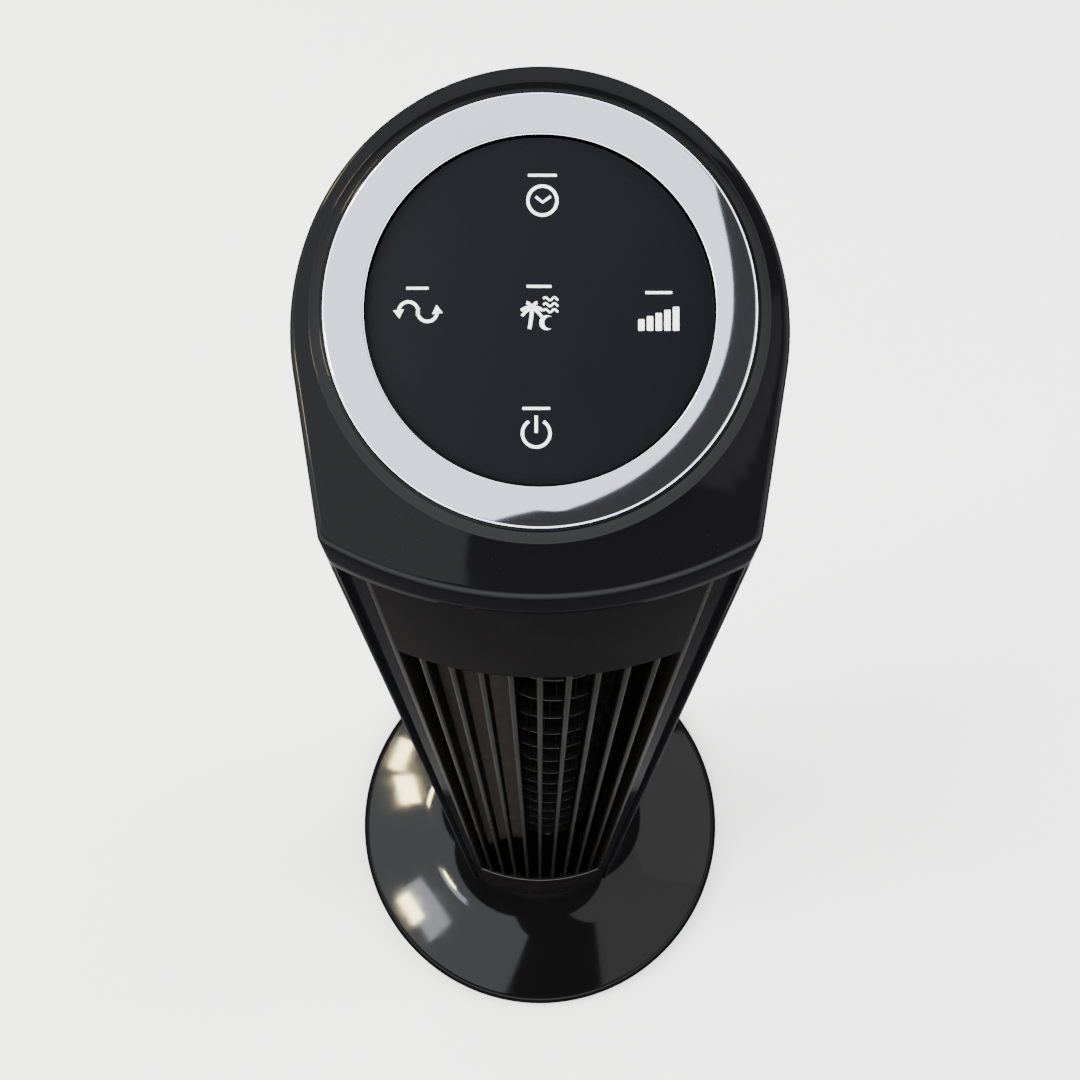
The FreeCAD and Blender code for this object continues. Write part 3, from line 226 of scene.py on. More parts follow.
def satin_plastic(name, colour, roughness, grain=900, tint=1.5, straight=0.35, grazing=0.0002):
    """Fine spark-eroded texture with slight uneven sheen."""
    shader = Shader(name, colour, roughness)
    shader.soften_grazing(straight, grazing, *SATIN_FADE)
    uneven = shader.noise(18, 3.0)
    shader.rough(shader.spread(uneven, 0.3, 0.7, roughness * 0.85, roughness * 1.2))
    shader.blend_colour(shader.noise(60, 4.0), colour, tuple(c * tint for c in colour))
    shader.bump(shader.noise(grain, 2.0), 0.05, 0.5)
    return shader.material


def metal(name, colour, roughness, stretch=(1, 1, 1), scale=300, depth=0.02):
    """Bare or plated metal; the stretch turns its noise into brushing along one axis."""
    shader = Shader(name, colour, roughness, metallic=1.0)
    brushed = shader.noise(scale, 3.0, stretch)
    shader.rough(shader.spread(brushed, 0.3, 0.7, roughness * 0.7, roughness * 1.4))
    shader.blend_colour(shader.noise(40, 2.0), colour, tuple(c * 0.86 for c in colour))
    shader.bump(brushed, depth, 0.4)
    return shader.material


def printed_ink(name, colour):
    """Screen-printed white with slightly uneven cover."""
    shader = Shader(name, colour, 0.45)
    shader.blend_colour(shader.noise(700, 2.0), colour, tuple(c * 0.86 for c in colour))
    shader.bump(shader.noise(1500, 1.0), 0.01, 0.4)
    return shader.material


def circuit_board(name):
    """Green solder mask with paler tracks."""
    shader = Shader(name, (0.01, 0.09, 0.035), 0.35)
    tracks = shader.spread(shader.cells(160), 0.45, 0.5, 0.0, 1.0)
    shader.blend_colour(tracks, (0.008, 0.07, 0.028), (0.03, 0.17, 0.06))
    shader.bump(tracks, 0.03, 0.6)
    return shader.material


def pale_floor():
    """Matt pale studio floor."""
    shader = Shader("pale_floor", (0.86, 0.86, 0.86), 0.7, specular=0.2)
    shader.blend_colour(shader.noise(3, 2.0), (0.85, 0.85, 0.855), (0.89, 0.89, 0.89))
    return shader.material


GLOSS = gloss_plastic("gloss_black_plastic", (0.0026, 0.0026, 0.003), (0.025, 0.025, 0.029),
                      roughness=0.06, straight=0.17, grazing=0.0001, fade=(0.06, 0.42))
BASE_GLOSS = gloss_plastic("base_gloss_plastic", (0.0016, 0.0016, 0.0016), (0.02, 0.02, 0.02),
                           roughness=0.055, straight=0.42, grazing=0.003, fade=(0.06, 0.2))
SATIN = satin_plastic("satin_black_plastic", (0.003, 0.003, 0.0034), 0.4, straight=0.2)
PANEL_BLACK = satin_plastic("front_panel_plastic", (0.0026, 0.0024, 0.0024), 0.22, grain=700,
                            tint=1.3, straight=0.4, grazing=0.0001)
RIB_BLACK = satin_plastic("rib_plastic", (0.003, 0.0028, 0.0026), 0.24, grain=700,
                          tint=1.3, straight=0.5, grazing=0.0006)
TOUCH = satin_plastic("touch_panel_film", (0.003, 0.0032, 0.0046), 0.42, grain=1600,
                      tint=1.12, straight=0.07)
DUCT = satin_plastic("duct_plastic", (0.02, 0.018, 0.0165), 0.45, grain=500)
WHEEL = satin_plastic("wheel_plastic", (0.0045, 0.0045, 0.0045), 0.4, grain=600)
NYLON = satin_plastic("acetal", (0.75, 0.74, 0.7), 0.35, grain=400, tint=1.06)
RUBBER = satin_plastic("rubber_black", (0.018, 0.018, 0.018), 0.75, grain=300)
CHROME = metal("bright_plating", (0.86, 0.88, 0.99), 0.04, scale=22, depth=0.003)
STEEL = metal("zinc_plated_steel", (0.55, 0.55, 0.56), 0.32)
ALLOY = metal("cast_alloy", (0.6, 0.6, 0.61), 0.42, scale=500, depth=0.05)
COPPER = metal("copper_wire", (0.75, 0.33, 0.14), 0.3, stretch=(1, 1, 30), scale=120, depth=0.12)
INK = printed_ink("white_print", (0.82, 0.82, 0.83))
BOARD = circuit_board("green_board")
PARTS = satin_plastic("component_body", (0.03, 0.03, 0.035), 0.4, grain=400)


# ------------------------------------------------------------------ mesh helpers

def clean_mesh(mesh, sharp):
    """Weld doubles, turn the faces outwards, and shade smooth except across sharp edges."""
    work = bmesh.new()
    work.from_mesh(mesh)
    bmesh.ops.remove_doubles(work, verts=work.verts, dist=1e-7)
    bmesh.ops.dissolve_degenerate(work, dist=1e-8, edges=work.edges)
    bmesh.ops.recalc_face_normals(work, faces=work.faces)
    for face in work.faces:
        face.smooth = True
    for edge in work.edges:
        edge.smooth = len(edge.link_faces) == 2 and edge.calc_face_angle(0) < math.radians(sharp)
    work.to_mesh(mesh)
    work.free()


def round_edges(piece, width, steps, sharp):
    """A bevel on the edges that turn by more than an angle in degrees."""
    bevel = piece.modifiers.new("edge_round", "BEVEL")
    bevel.width = width * MM
    bevel.segments = steps
    bevel.limit_method = "ANGLE"
    bevel.angle_limit = math.radians(sharp)
    bevel.harden_normals = True


def make_piece(name, verts, faces, material, slot, body, sharp=32, bevel=0.0, steps=3):
    """A mesh piece from points in millimetres: smooth, with crisp or bevelled hard edges."""
    mesh = bpy.data.meshes.new(name)
    mesh.from_pydata([tuple(Vector(v) * MM) for v in verts], [], faces)
    clean_mesh(mesh, sharp)
    mesh.materials.append(material)
    piece = bpy.data.objects.new(name, mesh)
    bpy.context.scene.collection.objects.link(piece)
    if bevel:
        round_edges(piece, bevel, steps, sharp)
    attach(piece, body)
    return piece


class Solids:
    """Collects the points and faces of several closed solids that make up one piece."""

    def __init__(self):
        self.verts = []
        self.faces = []

    def add(self, verts, faces):
        start = len(self.verts)
        self.verts.extend(verts)
        self.faces.extend(tuple(start + i for i in face) for face in faces)

    def make(self, name, material, slot, body, **options):
        return make_piece(name, self.verts, self.faces, material, slot, body, **options)


def round_corners(points, radii, steps=4):
    """A closed outline with its corners rounded, each by its own radius (0 keeps it)."""
    result = []
    count = len(points)
    for index, point in enumerate(points):
        here = Vector(point)
        radius = radii if isinstance(radii, (int, float)) else radii[index]
        if not radius:
            result.append(here)
            continue
        back = (Vector(points[index - 1]) - here).normalized()
        ahead = (Vector(points[(index + 1) % count]) - here).normalized()
        half = back.angle(ahead) / 2
        centre = here + (back + ahead).normalized() * (radius / math.sin(half))
        start = here + back * (radius / math.tan(half)) - centre
        end = here + ahead * (radius / math.tan(half)) - centre
        for step in range(steps + 1):
            result.append(centre + start.slerp(end, step / steps).normalized() * radius)
    return result


def ring_rows(rows, closed=True):
    """Faces that join rows of equal length, each row a closed loop of points."""
    width = len(rows[0])
    verts = [point for row in rows for point in row]
    faces = []
    count = len(rows)
    for r in range(count if closed else count - 1):
        following = (r + 1) % count
        for i in range(width):
            after = (i + 1) % width
            faces.append((r * width + i, r * width + after,
                          following * width + after, following * width + i))
    return verts, faces


def turned(profile, steps=192, matrix=None, centre=(0, 0)):
    """Turn a closed profile of (radius, height) points about an upright axis."""
    rows = []
    for radius, height in profile:
        row = []
        for step in range(steps):
            angle = math.tau * step / steps
            x = centre[0] + radius * math.cos(angle)
            y = centre[1] + radius * math.sin(angle)
            point = Vector((x, y, height))
            row.append(matrix @ point if matrix else point)
        rows.append(row)
    return ring_rows(rows)


def upright(section, low, high, levels=1):
    """A flat section raised into a solid between two heights."""
    rows = []
    for level in range(levels + 1):
        height = low + (high - low) * level / levels
        rows.append([Vector((p[0], p[1], height)) for p in section])
    verts, faces = ring_rows(rows, closed=False)
    width = len(section)
    faces.append(tuple(reversed(range(width))))
    faces.append(tuple(range(len(verts) - width, len(verts))))
    return verts, faces


def arc(centre, radius, first, last, steps):
    """Points on an arc between two angles in degrees, both ends included."""
    points = []
    for step in range(steps + 1):
        angle = math.radians(first + (last - first) * step / steps)
        x = centre[0] + radius * math.cos(angle)
        y = centre[1] + radius * math.sin(angle)
        points.append(Vector((x, y)))
    return points


def arc_plate(centre, outer, inner, first, last, steps=24, corner=0.0):
    """The section of a curved plate, with rounded corners."""
    points = arc(centre, outer, first, last, steps) + arc(centre, inner, last, first, steps)
    radii = [0] * len(points)
    for index in (0, steps, steps + 1, len(points) - 1):
        radii[index] = corner
    return round_corners(points, radii, 3)


def tower_outline(inset=0.0, corner=1.4):
    """The housing's outline, anticlockwise from the middle of its bowed front."""
    front = FRONT_ROUND - inset
    back = BACK_ROUND - inset
    half = HALF_WIDTH - inset
    corner_point = Vector((half, FRONT_CENTRE - math.sqrt(front ** 2 - half ** 2)))
    reach = corner_point - Vector((0, BACK_CENTRE))
    touch_angle = math.atan2(reach.y, reach.x) + math.acos(back / reach.length)
    touch = Vector((back * math.cos(touch_angle), BACK_CENTRE + back * math.sin(touch_angle)))
    bow_end = math.degrees(math.asin((half - corner) / front)) - 90
    bow = arc((0, FRONT_CENTRE), front, -90, bow_end, 26)
    side_start = corner_point + (touch - corner_point).normalized() * corner
    turn = []
    for step in range(1, 6):
        t = step / 6
        turn.append(bow[-1] * (1 - t) ** 2 + corner_point * (2 * t * (1 - t)) + side_start * t ** 2)
    side = [side_start.lerp(touch, step / 6) for step in range(6)]
    round_back = arc((0, BACK_CENTRE), back, math.degrees(touch_angle), 90, 60)
    right = bow + turn + side + round_back
    left = [Vector((-p.x, p.y)) for p in reversed(right[1:-1])]
    return right + left


def panel_z(y):
    """Height of the sloped control face above a place along Y."""
    return PANEL_HEIGHT + y * math.tan(TILT)


# ------------------------------------------------------------------ base

def base_profile(shift=0.0):
    """The dome's section from the neck out to the rim, moved inwards by a shift."""
    slope = math.atan2(FLARE_START[1] - DOME_OUTER[1], DOME_OUTER[0] - FLARE_START[0])
    flare_centre = Vector(FLARE_START) + Vector((math.sin(slope), math.cos(slope))) * FLARE_ROUND
    neck_turn = math.asin((flare_centre.x - NECK_RADIUS) / FLARE_ROUND)
    end_turn = math.asin((flare_centre.x - FLARE_START[0]) / FLARE_ROUND)
    points = []
    for step in range(33):
        angle = neck_turn + (end_turn - neck_turn) * step / 32
        points.append(flare_centre + Vector((-math.sin(angle), -math.cos(angle))) * (FLARE_ROUND + shift))
    rim_centre = Vector((BASE_RADIUS - RIM_ROUND, RIM_HEIGHT))
    first = math.pi / 2 - slope
    for step in range(13):
        angle = first - first * step / 12
        points.append(rim_centre + Vector((math.cos(angle), math.sin(angle))) * (RIM_ROUND - shift))
    return points


def build_base():
    """Domed cover and rubber feet."""
    foot = FOOT_HEIGHT
    profile = [(p.x, min(p.y, DECK)) for p in base_profile()]
    profile += [(BASE_RADIUS, foot + 0.5), (BASE_RADIUS - 0.5, foot), (BASE_RADIUS - 2.0, foot)]
    profile += [(BASE_RADIUS - BASE_WALL, foot + 0.4)]
    profile += [(p.x, p.y) for p in reversed(base_profile(BASE_WALL))]
    profile += [(BASE_BORE, DECK - BASE_WALL), (BASE_BORE, DECK)]
    solids = Solids()
    solids.add(*turned(profile, 320))
    cover = solids.make("base_dome", BASE_GLOSS, "gloss_black", "base", sharp=40)
    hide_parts("base_cover")

    section = [(0, 0.6), (4.6, 0.6), (5.2, 0.0), (7.2, 0.0), (8.0, 0.8), (8.0, foot), (0, foot)]
    feet = Solids()
    for step in range(FOOT_COUNT):
        angle = math.radians(90 + 360 / FOOT_COUNT * step)
        place = (FOOT_CIRCLE * math.cos(angle), FOOT_CIRCLE * math.sin(angle))
        feet.add(*turned(section, 40, centre=place))
    pads = feet.make("foot_pads", RUBBER, "rubber", "base", sharp=30)
    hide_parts("rubber_feet")


# ------------------------------------------------------------------ top cap and controls

def plane_row(points, lift):
    """A loop of in-plane points at a lift above the control face."""
    return [PANEL @ Vector((p[0], p[1], lift)) for p in points]


def circle_like(outline, radius):
    """Points on an in-plane circle, each beside one point of the housing's outline."""
    result = []
    for point in outline:
        angle = math.atan2(point.y / math.cos(TILT), point.x)
        result.append((radius * math.cos(angle), radius * math.sin(angle)))
    return result


# The plinth round the ring, its groove and the well under the touch panel: radius and lift.
PLINTH = ((48.95, 0.0), (48.72, 0.06), (48.5, 0.25), (46.7, 1.62), (46.5, 1.76), (46.2, 1.8),
          (46.0, 1.8), (45.88, 1.7), (45.85, 1.5), (45.85, 0.0), (32.8, 0.0), (32.8, -2.5))


def level_row(inset, height):
    """The housing's outline, moved inwards, at one height."""
    return [Vector((p.x, p.y, height)) for p in tower_outline(inset)]


def sloped_row(inset, drop):
    """The housing's outline, moved inwards, a little below the control face's slope."""
    return [Vector((p.x, p.y, panel_z(p.y) - drop)) for p in tower_outline(inset)]


def build_cap():
    """Wedge-shaped cap: skirt, rounded edge, sloped face, plinth and the recess for the ring."""
    outline = tower_outline()
    rows = [level_row(0.35, SEAM), level_row(0.1, SEAM + 0.1), level_row(0.0, SEAM + 0.35)]
    for part in (0.35, 0.7):
        rows.append([Vector((p.x, p.y, SEAM + (panel_z(p.y) - CAP_EDGE - SEAM) * part)) for p in outline])
    for step in range(9):
        turn = math.pi / 2 * step / 8
        rows.append(sloped_row(CAP_EDGE * (1 - math.cos(turn)), CAP_EDGE * (1 - math.sin(turn))))
    for radius, lift in PLINTH:
        rows.append(plane_row(circle_like(outline, radius), lift))
    rows.append(sloped_row(CAP_WALL, CAP_WALL + 0.2))
    rows.append(level_row(CAP_WALL, SEAM))
    solids = Solids()
    solids.add(*ring_rows(rows))
    cap = solids.make("cap_shell", GLOSS, "gloss_black", "tower", sharp=38)
    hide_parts("top_cap")


def build_ring_and_panel():
    """Bright ring with softly rounded edges, and the touch panel inside it."""
    section = round_corners([(RING_INNER, 0), (RING_OUTER, 0), (RING_OUTER, RING_THICK),
                             (RING_INNER, RING_THICK)], (0, 0, 0.7, 0.45), 6)
    solids = Solids()
    solids.add(*turned(section, 320, PANEL))
    ring = solids.make("plated_ring", CHROME, "bright_chrome", "tower", sharp=40)
    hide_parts("bright_ring")

    radius = RING_INNER - 0.3
    disc = round_corners([(0, 0), (radius, 0), (radius, LENS_THICK), (0, LENS_THICK)], (0, 0, 0.35, 0), 4)
    lens = Solids()
    lens.add(*turned(disc, 256, PANEL))
    touch = lens.make("touch_disc", TOUCH, "touch_black", "tower", sharp=40)
    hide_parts("touch_panel")


# The printed signs reach from just inside the touch panel to just above it.
SIGN_LOW = LENS_THICK - 0.01
SIGN_HIGH = LENS_THICK + 0.025
THICK_LINE = 0.66
THIN_LINE = 0.55

# Middles of the signs on the touch panel, and the dashes that stand for their words: middle
# and length.
CLOCK_PLACE = (0.5, 23.2)
SWING_PLACE = (-25.6, -0.1)
BREEZE_PLACE = (-0.3, -0.5)
BARS_PLACE = (24.9, -1.6)
POWER_PLACE = (-0.8, -25.6)
DASHES = ((0.5, 28.5, 6.0), (-25.7, 4.8, 4.6), (-0.2, 5.2, 5.2), (24.9, 3.9, 5.6), (-0.8, -20.4, 5.8))


def on_lens(x, y, lift):
    """A point over the touch panel's back face, from its place in the panel's plane."""
    return PANEL @ Vector((x, y, lift))


def add_strip(solids, left, right, closed=False):
    """A printed strip between two lines that have as many points each."""
    rows = [[on_lens(a.x, a.y, SIGN_LOW), on_lens(a.x, a.y, SIGN_HIGH),
             on_lens(b.x, b.y, SIGN_HIGH), on_lens(b.x, b.y, SIGN_LOW)] for a, b in zip(left, right)]
    verts, faces = ring_rows(rows, closed)
    if not closed:
        faces += [(3, 2, 1, 0), tuple(range(len(verts) - 4, len(verts)))]
    solids.add(verts, faces)


def add_ribbon(solids, points, width, closed=False):
    """A printed line of even width along a path on the touch panel."""
    path = [Vector((p[0], p[1])) for p in points]
    count = len(path)
    left = []
    right = []
    for index, point in enumerate(path):
        before = path[index - 1] if index or closed else point
        after = path[(index + 1) % count] if index < count - 1 or closed else point
        along = (after - before).normalized()
        side = Vector((-along.y, along.x)) * width / 2
        left.append(point + side)
        right.append(point - side)
    add_strip(solids, left, right, closed)


def add_shape(solids, points):
    """A printed convex shape on the touch panel."""
    count = len(points)
    verts = [on_lens(p[0], p[1], lift) for lift in (SIGN_LOW, SIGN_HIGH) for p in points]
    faces = [tuple(reversed(range(count))), tuple(range(count, 2 * count))]
    faces += [(i, (i + 1) % count, count + (i + 1) % count, count + i) for i in range(count)]
    solids.add(verts, faces)


def add_arrow(solids, tip, direction, size):
    """An arrow head that points along a direction."""
    along = Vector(direction).normalized() * size
    side = Vector((-along.y, along.x)) * 0.62
    point = Vector(tip)
    add_shape(solids, (point + along * 0.6, point - along * 0.4 + side, point - along * 0.4 - side))


def add_clock(solids, x, y):
    """A clock face with two hands."""
    add_ribbon(solids, arc((x, y), 3.05, 0, 351, 40), THICK_LINE, True)
    add_ribbon(solids, [(x - 1.4, y + 0.8), (x + 0.05, y - 0.35), (x + 1.75, y + 0.85)], THIN_LINE)


def add_swing(solids, x, y):
    """Two open rings, each ending in an arrow head, for side to side swing."""
    for side, first, last in ((-1, -25, 190), (1, 155, 370)):
        bow = arc((x + 2.0 * side, y), 2.05, first, last, 28)
        add_ribbon(solids, bow, THICK_LINE)
        add_arrow(solids, bow[-1], bow[-1] - bow[-2], 1.8)


def add_palm(solids, x, y):
    """A leaning trunk with six drooping fronds."""
    trunk = [(x + 0.5 * math.sin(step * 0.26), y + 0.75 * step) for step in range(7)]
    add_ribbon(solids, trunk, 0.75)
    top = Vector(trunk[-1])
    for turn, droop in ((168, 1.0), (205, 0.75), (120, 0.9), (60, 0.9), (12, 1.0), (-28, 0.75)):
        way = Vector((math.cos(math.radians(turn)), math.sin(math.radians(turn))))
        frond = [top + way * (2.3 * t) - Vector((0, droop * 1.1 * t * t)) for t in (0, 0.25, 0.5, 0.75, 1.0)]
        add_ribbon(solids, frond, 0.62)


def add_wave(solids, x, y):
    """A short wavy line."""
    wave = []
    for step in range(17):
        along = 3.1 * step / 16
        wave.append((x + along, y + 0.32 * math.sin(along * 3.4)))
    add_ribbon(solids, wave, 0.42)


def add_moon(solids, x, y):
    """A crescent between two arcs that meet near its tips."""
    add_strip(solids, arc((x, y), 1.55, 60, 300, 16), arc((x + 0.75, y), 1.3, 75, 285, 16))


def add_breeze(solids, x, y):
    """A palm in the wind, with waves beside it and a moon below them."""
    add_palm(solids, x - 1.9, y - 3.2)
    for row in range(3):
        add_wave(solids, x + 1.0, y + 3.1 - 1.25 * row)
    add_moon(solids, x + 1.7, y - 1.9)


def add_bars(solids, x, y):
    """Five bars that rise to the right."""
    low = y - 2.5
    for step in range(5):
        left = x - 4.3 + step * 1.82
        right = left + 1.3
        high = y - 0.1 + step * 0.65
        add_shape(solids, round_corners([(left, low), (right, low), (right, high), (left, high)], 0.15, 2))


def add_power(solids, x, y):
    """A broken ring with an upright stroke in its gap."""
    add_ribbon(solids, arc((x, y), 2.9, 122, 418, 40), THICK_LINE)
    add_ribbon(solids, [(x, y + 0.1), (x, y + 3.7)], THICK_LINE)


def build_icons():
    """Screen-printed signs, a few hundredths of a millimetre proud of the touch panel."""
    solids = Solids()
    add_clock(solids, *CLOCK_PLACE)
    add_swing(solids, *SWING_PLACE)
    add_breeze(solids, *BREEZE_PLACE)
    add_bars(solids, *BARS_PLACE)
    add_power(solids, *POWER_PLACE)
    for x, y, length in DASHES:
        add_ribbon(solids, [(x - length / 2, y), (x + length / 2, y)], THIN_LINE)
    solids.make("touch_signs", INK, "touch_black", "tower", sharp=30)


# ------------------------------------------------------------------ housing

def front_arc_y(x, radius):
    """Where an arc about the front's centre passes a place along X."""
    return FRONT_CENTRE - math.sqrt(radius ** 2 - x * x)


def build_front():
    """Front panel: two blank bands, side rails and nine upright ribs with rounded noses."""
    centre = (0, FRONT_CENTRE)
    outer = FRONT_ROUND - 0.4
    bands = Solids()
    section = arc_plate(centre, outer, outer - 2.4, -90 - PANEL_HALF_ANGLE, -90 + PANEL_HALF_ANGLE, 48)
    bands.add(*upright(section, SLOT_TOP, SEAM - 0.25))
    bands.add(*upright(section, TOWER_BOTTOM, SLOT_BOTTOM))
    band = bands.make("front_bands", PANEL_BLACK, "satin_black", "tower", bevel=0.7, steps=4)
    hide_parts("front_grille")

    ribs = Solids()
    for step in range(-4, 5):
        x = RIB_PITCH * step
        nose = front_arc_y(x, outer - 0.2)
        tail = front_arc_y(x, outer - RIB_DEPTH)
        rib = round_corners([(x - 0.95, nose), (x + 0.95, nose), (x + 0.7, tail), (x - 0.7, tail)],
                            (0.75, 0.75, 0.3, 0.3), 4)
        ribs.add(*upright(rib, SLOT_BOTTOM - 0.8, SLOT_TOP + 0.8))
    for side in (-1, 1):
        first = -90 + side * PANEL_HALF_ANGLE
        rail = arc_plate(centre, outer, outer - RIB_DEPTH, first, first - side * 1.0, 2, 0.35)
        ribs.add(*upright(rail, TOWER_BOTTOM + 0.3, SEAM - 0.4))
    rib_piece = ribs.make("outlet_ribs", RIB_BLACK, "satin_black", "tower", sharp=40)
    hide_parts("front_grille")


def build_trims():
    """Glossy strips in the channel on each side of the front panel."""
    outer = FRONT_ROUND - 1.8
    for side, name in ((1, "right"), (-1, "left")):
        first = -90 + side * (PANEL_HALF_ANGLE + 0.25)
        last = -90 + side * 27.3
        section = arc_plate((0, FRONT_CENTRE), outer, outer - 2.0, first, last, 8)
        strip = Solids()
        strip.add(*upright(section, TOWER_BOTTOM + 0.2, SEAM - 0.2))
        piece = strip.make(f"trim_{name}", GLOSS, "gloss_black", "tower", bevel=0.4)
        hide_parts(f"side_trim_{name}")


def slot_edges():
    """Angles of both edges of each column of slots, from the middle of the back."""
    width = math.degrees(SLOT_WIDTH / BACK_ROUND)
    for column in range(SLOT_COLUMNS):
        middle = (column - (SLOT_COLUMNS - 1) / 2) * SLOT_STEP
        yield middle - width / 2, middle + width / 2


# Each slot edge's angle, with -1 or +1 for the side of its slot that it is on.
EDGE_SIDES = {edge: side for edges in slot_edges() for edge, side in zip(edges, (-1, 1))}


def slot_side(place):
    """The side of its slot that a place on the shell's path is on, 0 away from slot edges."""
    return 0 if isinstance(place, Vector) else EDGE_SIDES.get(place, 0)


def shell_path():
    """The housing from one front corner round the back to the other: points, then angles."""
    outline = tower_outline()
    corner = next(i for i, p in enumerate(outline) if p.x > HALF_WIDTH - 1.55 and p.y < -40)
    right = [p for p in outline[corner:len(outline) // 2] if p.y < BACK_CENTRE - 1]
    plain = [98 - 6.5 * step for step in range(1, 7)]
    plain = [angle for angle in plain if angle > max(EDGE_SIDES) + 2]
    angles = plain + sorted(EDGE_SIDES, reverse=True) + [-angle for angle in reversed(plain)]
    left = [Vector((-p.x, p.y)) for p in reversed(right)]
    return right + angles + left


def shell_heights():
    """Heights of the shell's rows, each with how wide open its slots are (None away from them)."""
    pitch = (SLOT_TOP - SLOT_BOTTOM) / SLOT_ROWS
    heights = [(TOWER_BOTTOM, None), (SLOT_BOTTOM - 20, None)]
    for row in range(SLOT_ROWS):
        low = SLOT_BOTTOM + pitch * (row + 0.12)
        high = low + pitch * 0.76
        heights += [(low, 0.0), (low + 0.45, 0.62), (low + 1.6, 1.0)]
        heights += [(high - 1.6, 1.0), (high - 0.45, 0.62), (high, 0.0)]
    heights += [(SLOT_TOP + 10, None), (SEAM - 0.25, None)]
    return heights


def shell_point(place, height, open_part):
    """One point of the shell; the edges of a slot close in towards its two ends."""
    if isinstance(place, Vector):
        return Vector((place.x, place.y, height))
    angle = place
    side = slot_side(place)
    if side and open_part is not None and open_part < 1.0:
        half_width = math.degrees(SLOT_WIDTH / 2 / BACK_ROUND)
        angle -= side * half_width * (1 - SLOT_TIP - (1 - SLOT_TIP) * open_part)
    turn = math.radians(angle)
    x = BACK_ROUND * math.sin(turn)
    y = BACK_CENTRE + BACK_ROUND * math.cos(turn)
    return Vector((x, y, height))


def shell_faces(path, heights):
    """Faces between the shell's rows, left out where a slot is open."""
    width = len(path)
    faces = []
    for row in range(len(heights) - 1):
        lower = heights[row][1]
        upper = heights[row + 1][1]
        open_row = lower is not None and upper is not None and max(lower, upper) > 0
        for column in range(width - 1):
            in_slot = slot_side(path[column]) == 1 and slot_side(path[column + 1]) == -1
            if in_slot and open_row:
                continue
            base = row * width + column
            faces.append((base, base + 1, base + width + 1, base + width))
    return faces


def build_rear_shell():
    """Side and back walls with rows of round-ended intake slots."""
    path = shell_path()
    heights = shell_heights()
    verts = [shell_point(place, height, open_part) for height, open_part in heights for place in path]
    piece = make_piece("housing_shell", verts, shell_faces(path, heights), SATIN, "satin_black", "tower")
    wall = piece.modifiers.new("wall", "SOLIDIFY")
    wall.thickness = SHELL_WALL * MM
    wall.offset = -1 if shell_faces_out(piece) else 1
    round_edges(piece, 0.35, 2, 50)
    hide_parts("rear_shell")


def shell_faces_out(piece):
    """True if the sheet's faces point away from the tower's axis."""
    face = piece.data.polygons[0]
    outward = Vector((face.center.x, face.center.y, 0))
    return face.normal.dot(outward) > 0


def build_duct():
    """The two walls that guide the air round the fan wheel."""
    low = low_of("cutoff_wall").z
    high = high_of("cutoff_wall").z
    cutoff = Solids()
    section = arc_plate((-15.3, -62.7), 36.0, 36.0 - DUCT_WALL, 80.2, 132.7, 32, 0.9)
    cutoff.add(*upright(section, low, high))
    cutoff_piece = cutoff.make("cutoff_guide", DUCT, "duct_grey", "tower", sharp=40)
    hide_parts("cutoff_wall")

    scroll = Solids()
    outer_wall = arc((2, 1), 40.0, 90, -20, 60)
    inner_wall = arc((2, 1), 40.0 - DUCT_WALL, -20, 90, 60)
    ends = [Vector((39.7, -38.4)), Vector((37.7, -38.4))]
    scroll.add(*upright(outer_wall + ends + inner_wall, low, high))
    scroll_piece = scroll.make("scroll_guide", DUCT, "duct_grey", "tower", sharp=40)
    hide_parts("scroll_wall")


def blade_section(angle):
    """The curved section of one blade of the wheel, thinner towards the outside."""
    section = []
    for side in (0.5, -0.5):
        for step in range(7):
            part = step / 6 if side > 0 else 1 - step / 6
            reach = 24.2 + 6.5 * part
            sweep = 2.3 * math.sin(part * math.pi * 0.55) - 1.0
            thick = 0.75 * (1.1 - 0.5 * part) * side
            x = reach * math.cos(angle) - (sweep + thick) * math.sin(angle)
            y = reach * math.sin(angle) + (sweep + thick) * math.cos(angle)
            section.append((WHEEL_CENTRE.x + x, WHEEL_CENTRE.y + y))
    return section


def build_wheel():
    """Crossflow wheel: discs and thin curved blades, each segment turned a little."""
    solids = Solids()
    for segment in range(WHEEL_SEGMENTS):
        low = WHEEL_BOTTOM + WHEEL_PITCH * segment
        top = low + WHEEL_DISC
        disc = round_corners([(WHEEL_BORE, low), (WHEEL_RADIUS, low), (WHEEL_RADIUS, top), (WHEEL_BORE, top)],
                             0.3, 2)
        solids.add(*turned(disc, 96, centre=WHEEL_CENTRE))
        for blade in range(BLADES):
            section = blade_section(math.tau * blade / BLADES + WHEEL_TWIST * segment)
            solids.add(*upright(section, low + 1.5, low + WHEEL_PITCH + 0.05))
    wheel = solids.make("crossflow_wheel", WHEEL, "wheel_black", "impeller", sharp=40)
    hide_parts("fan_wheel")


def finish_cad_nodes():
    """Give every CAD node that stays in view its own procedural material."""
    finishes = {
        SATIN: ("tower_floor", "motor_plate", "upper_plate", "board_holder", "cord_gland",
                "base_bottom_plate"),
        WHEEL: ("wheel_hub", "wheel_end_disc"),
        RUBBER: ("bearing_rubber",),
        STEEL: ("base_weight", "base_screws", "post_screws", "drive_screws", "motor_screws", "shell_screws",
                "board_screws", "retaining_ring", "drive_bracket", "swing_motor", "drive_shaft", "fan_shaft",
                "stator_core", "motor_rotor", "touch_springs"),
        ALLOY: ("motor_shell_lower", "motor_shell_upper", "motor_bearings", "upper_bush"),
        COPPER: ("stator_windings",),
        NYLON: ("pivot_post", "thrust_washer", "fixed_gear", "drive_pinion"),
        BOARD: ("control_board", "power_board"),
        PARTS: ("power_parts",),
    }
    for material, names in finishes.items():
        for name in names:
            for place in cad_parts[name].material_slots:
                place.material = material


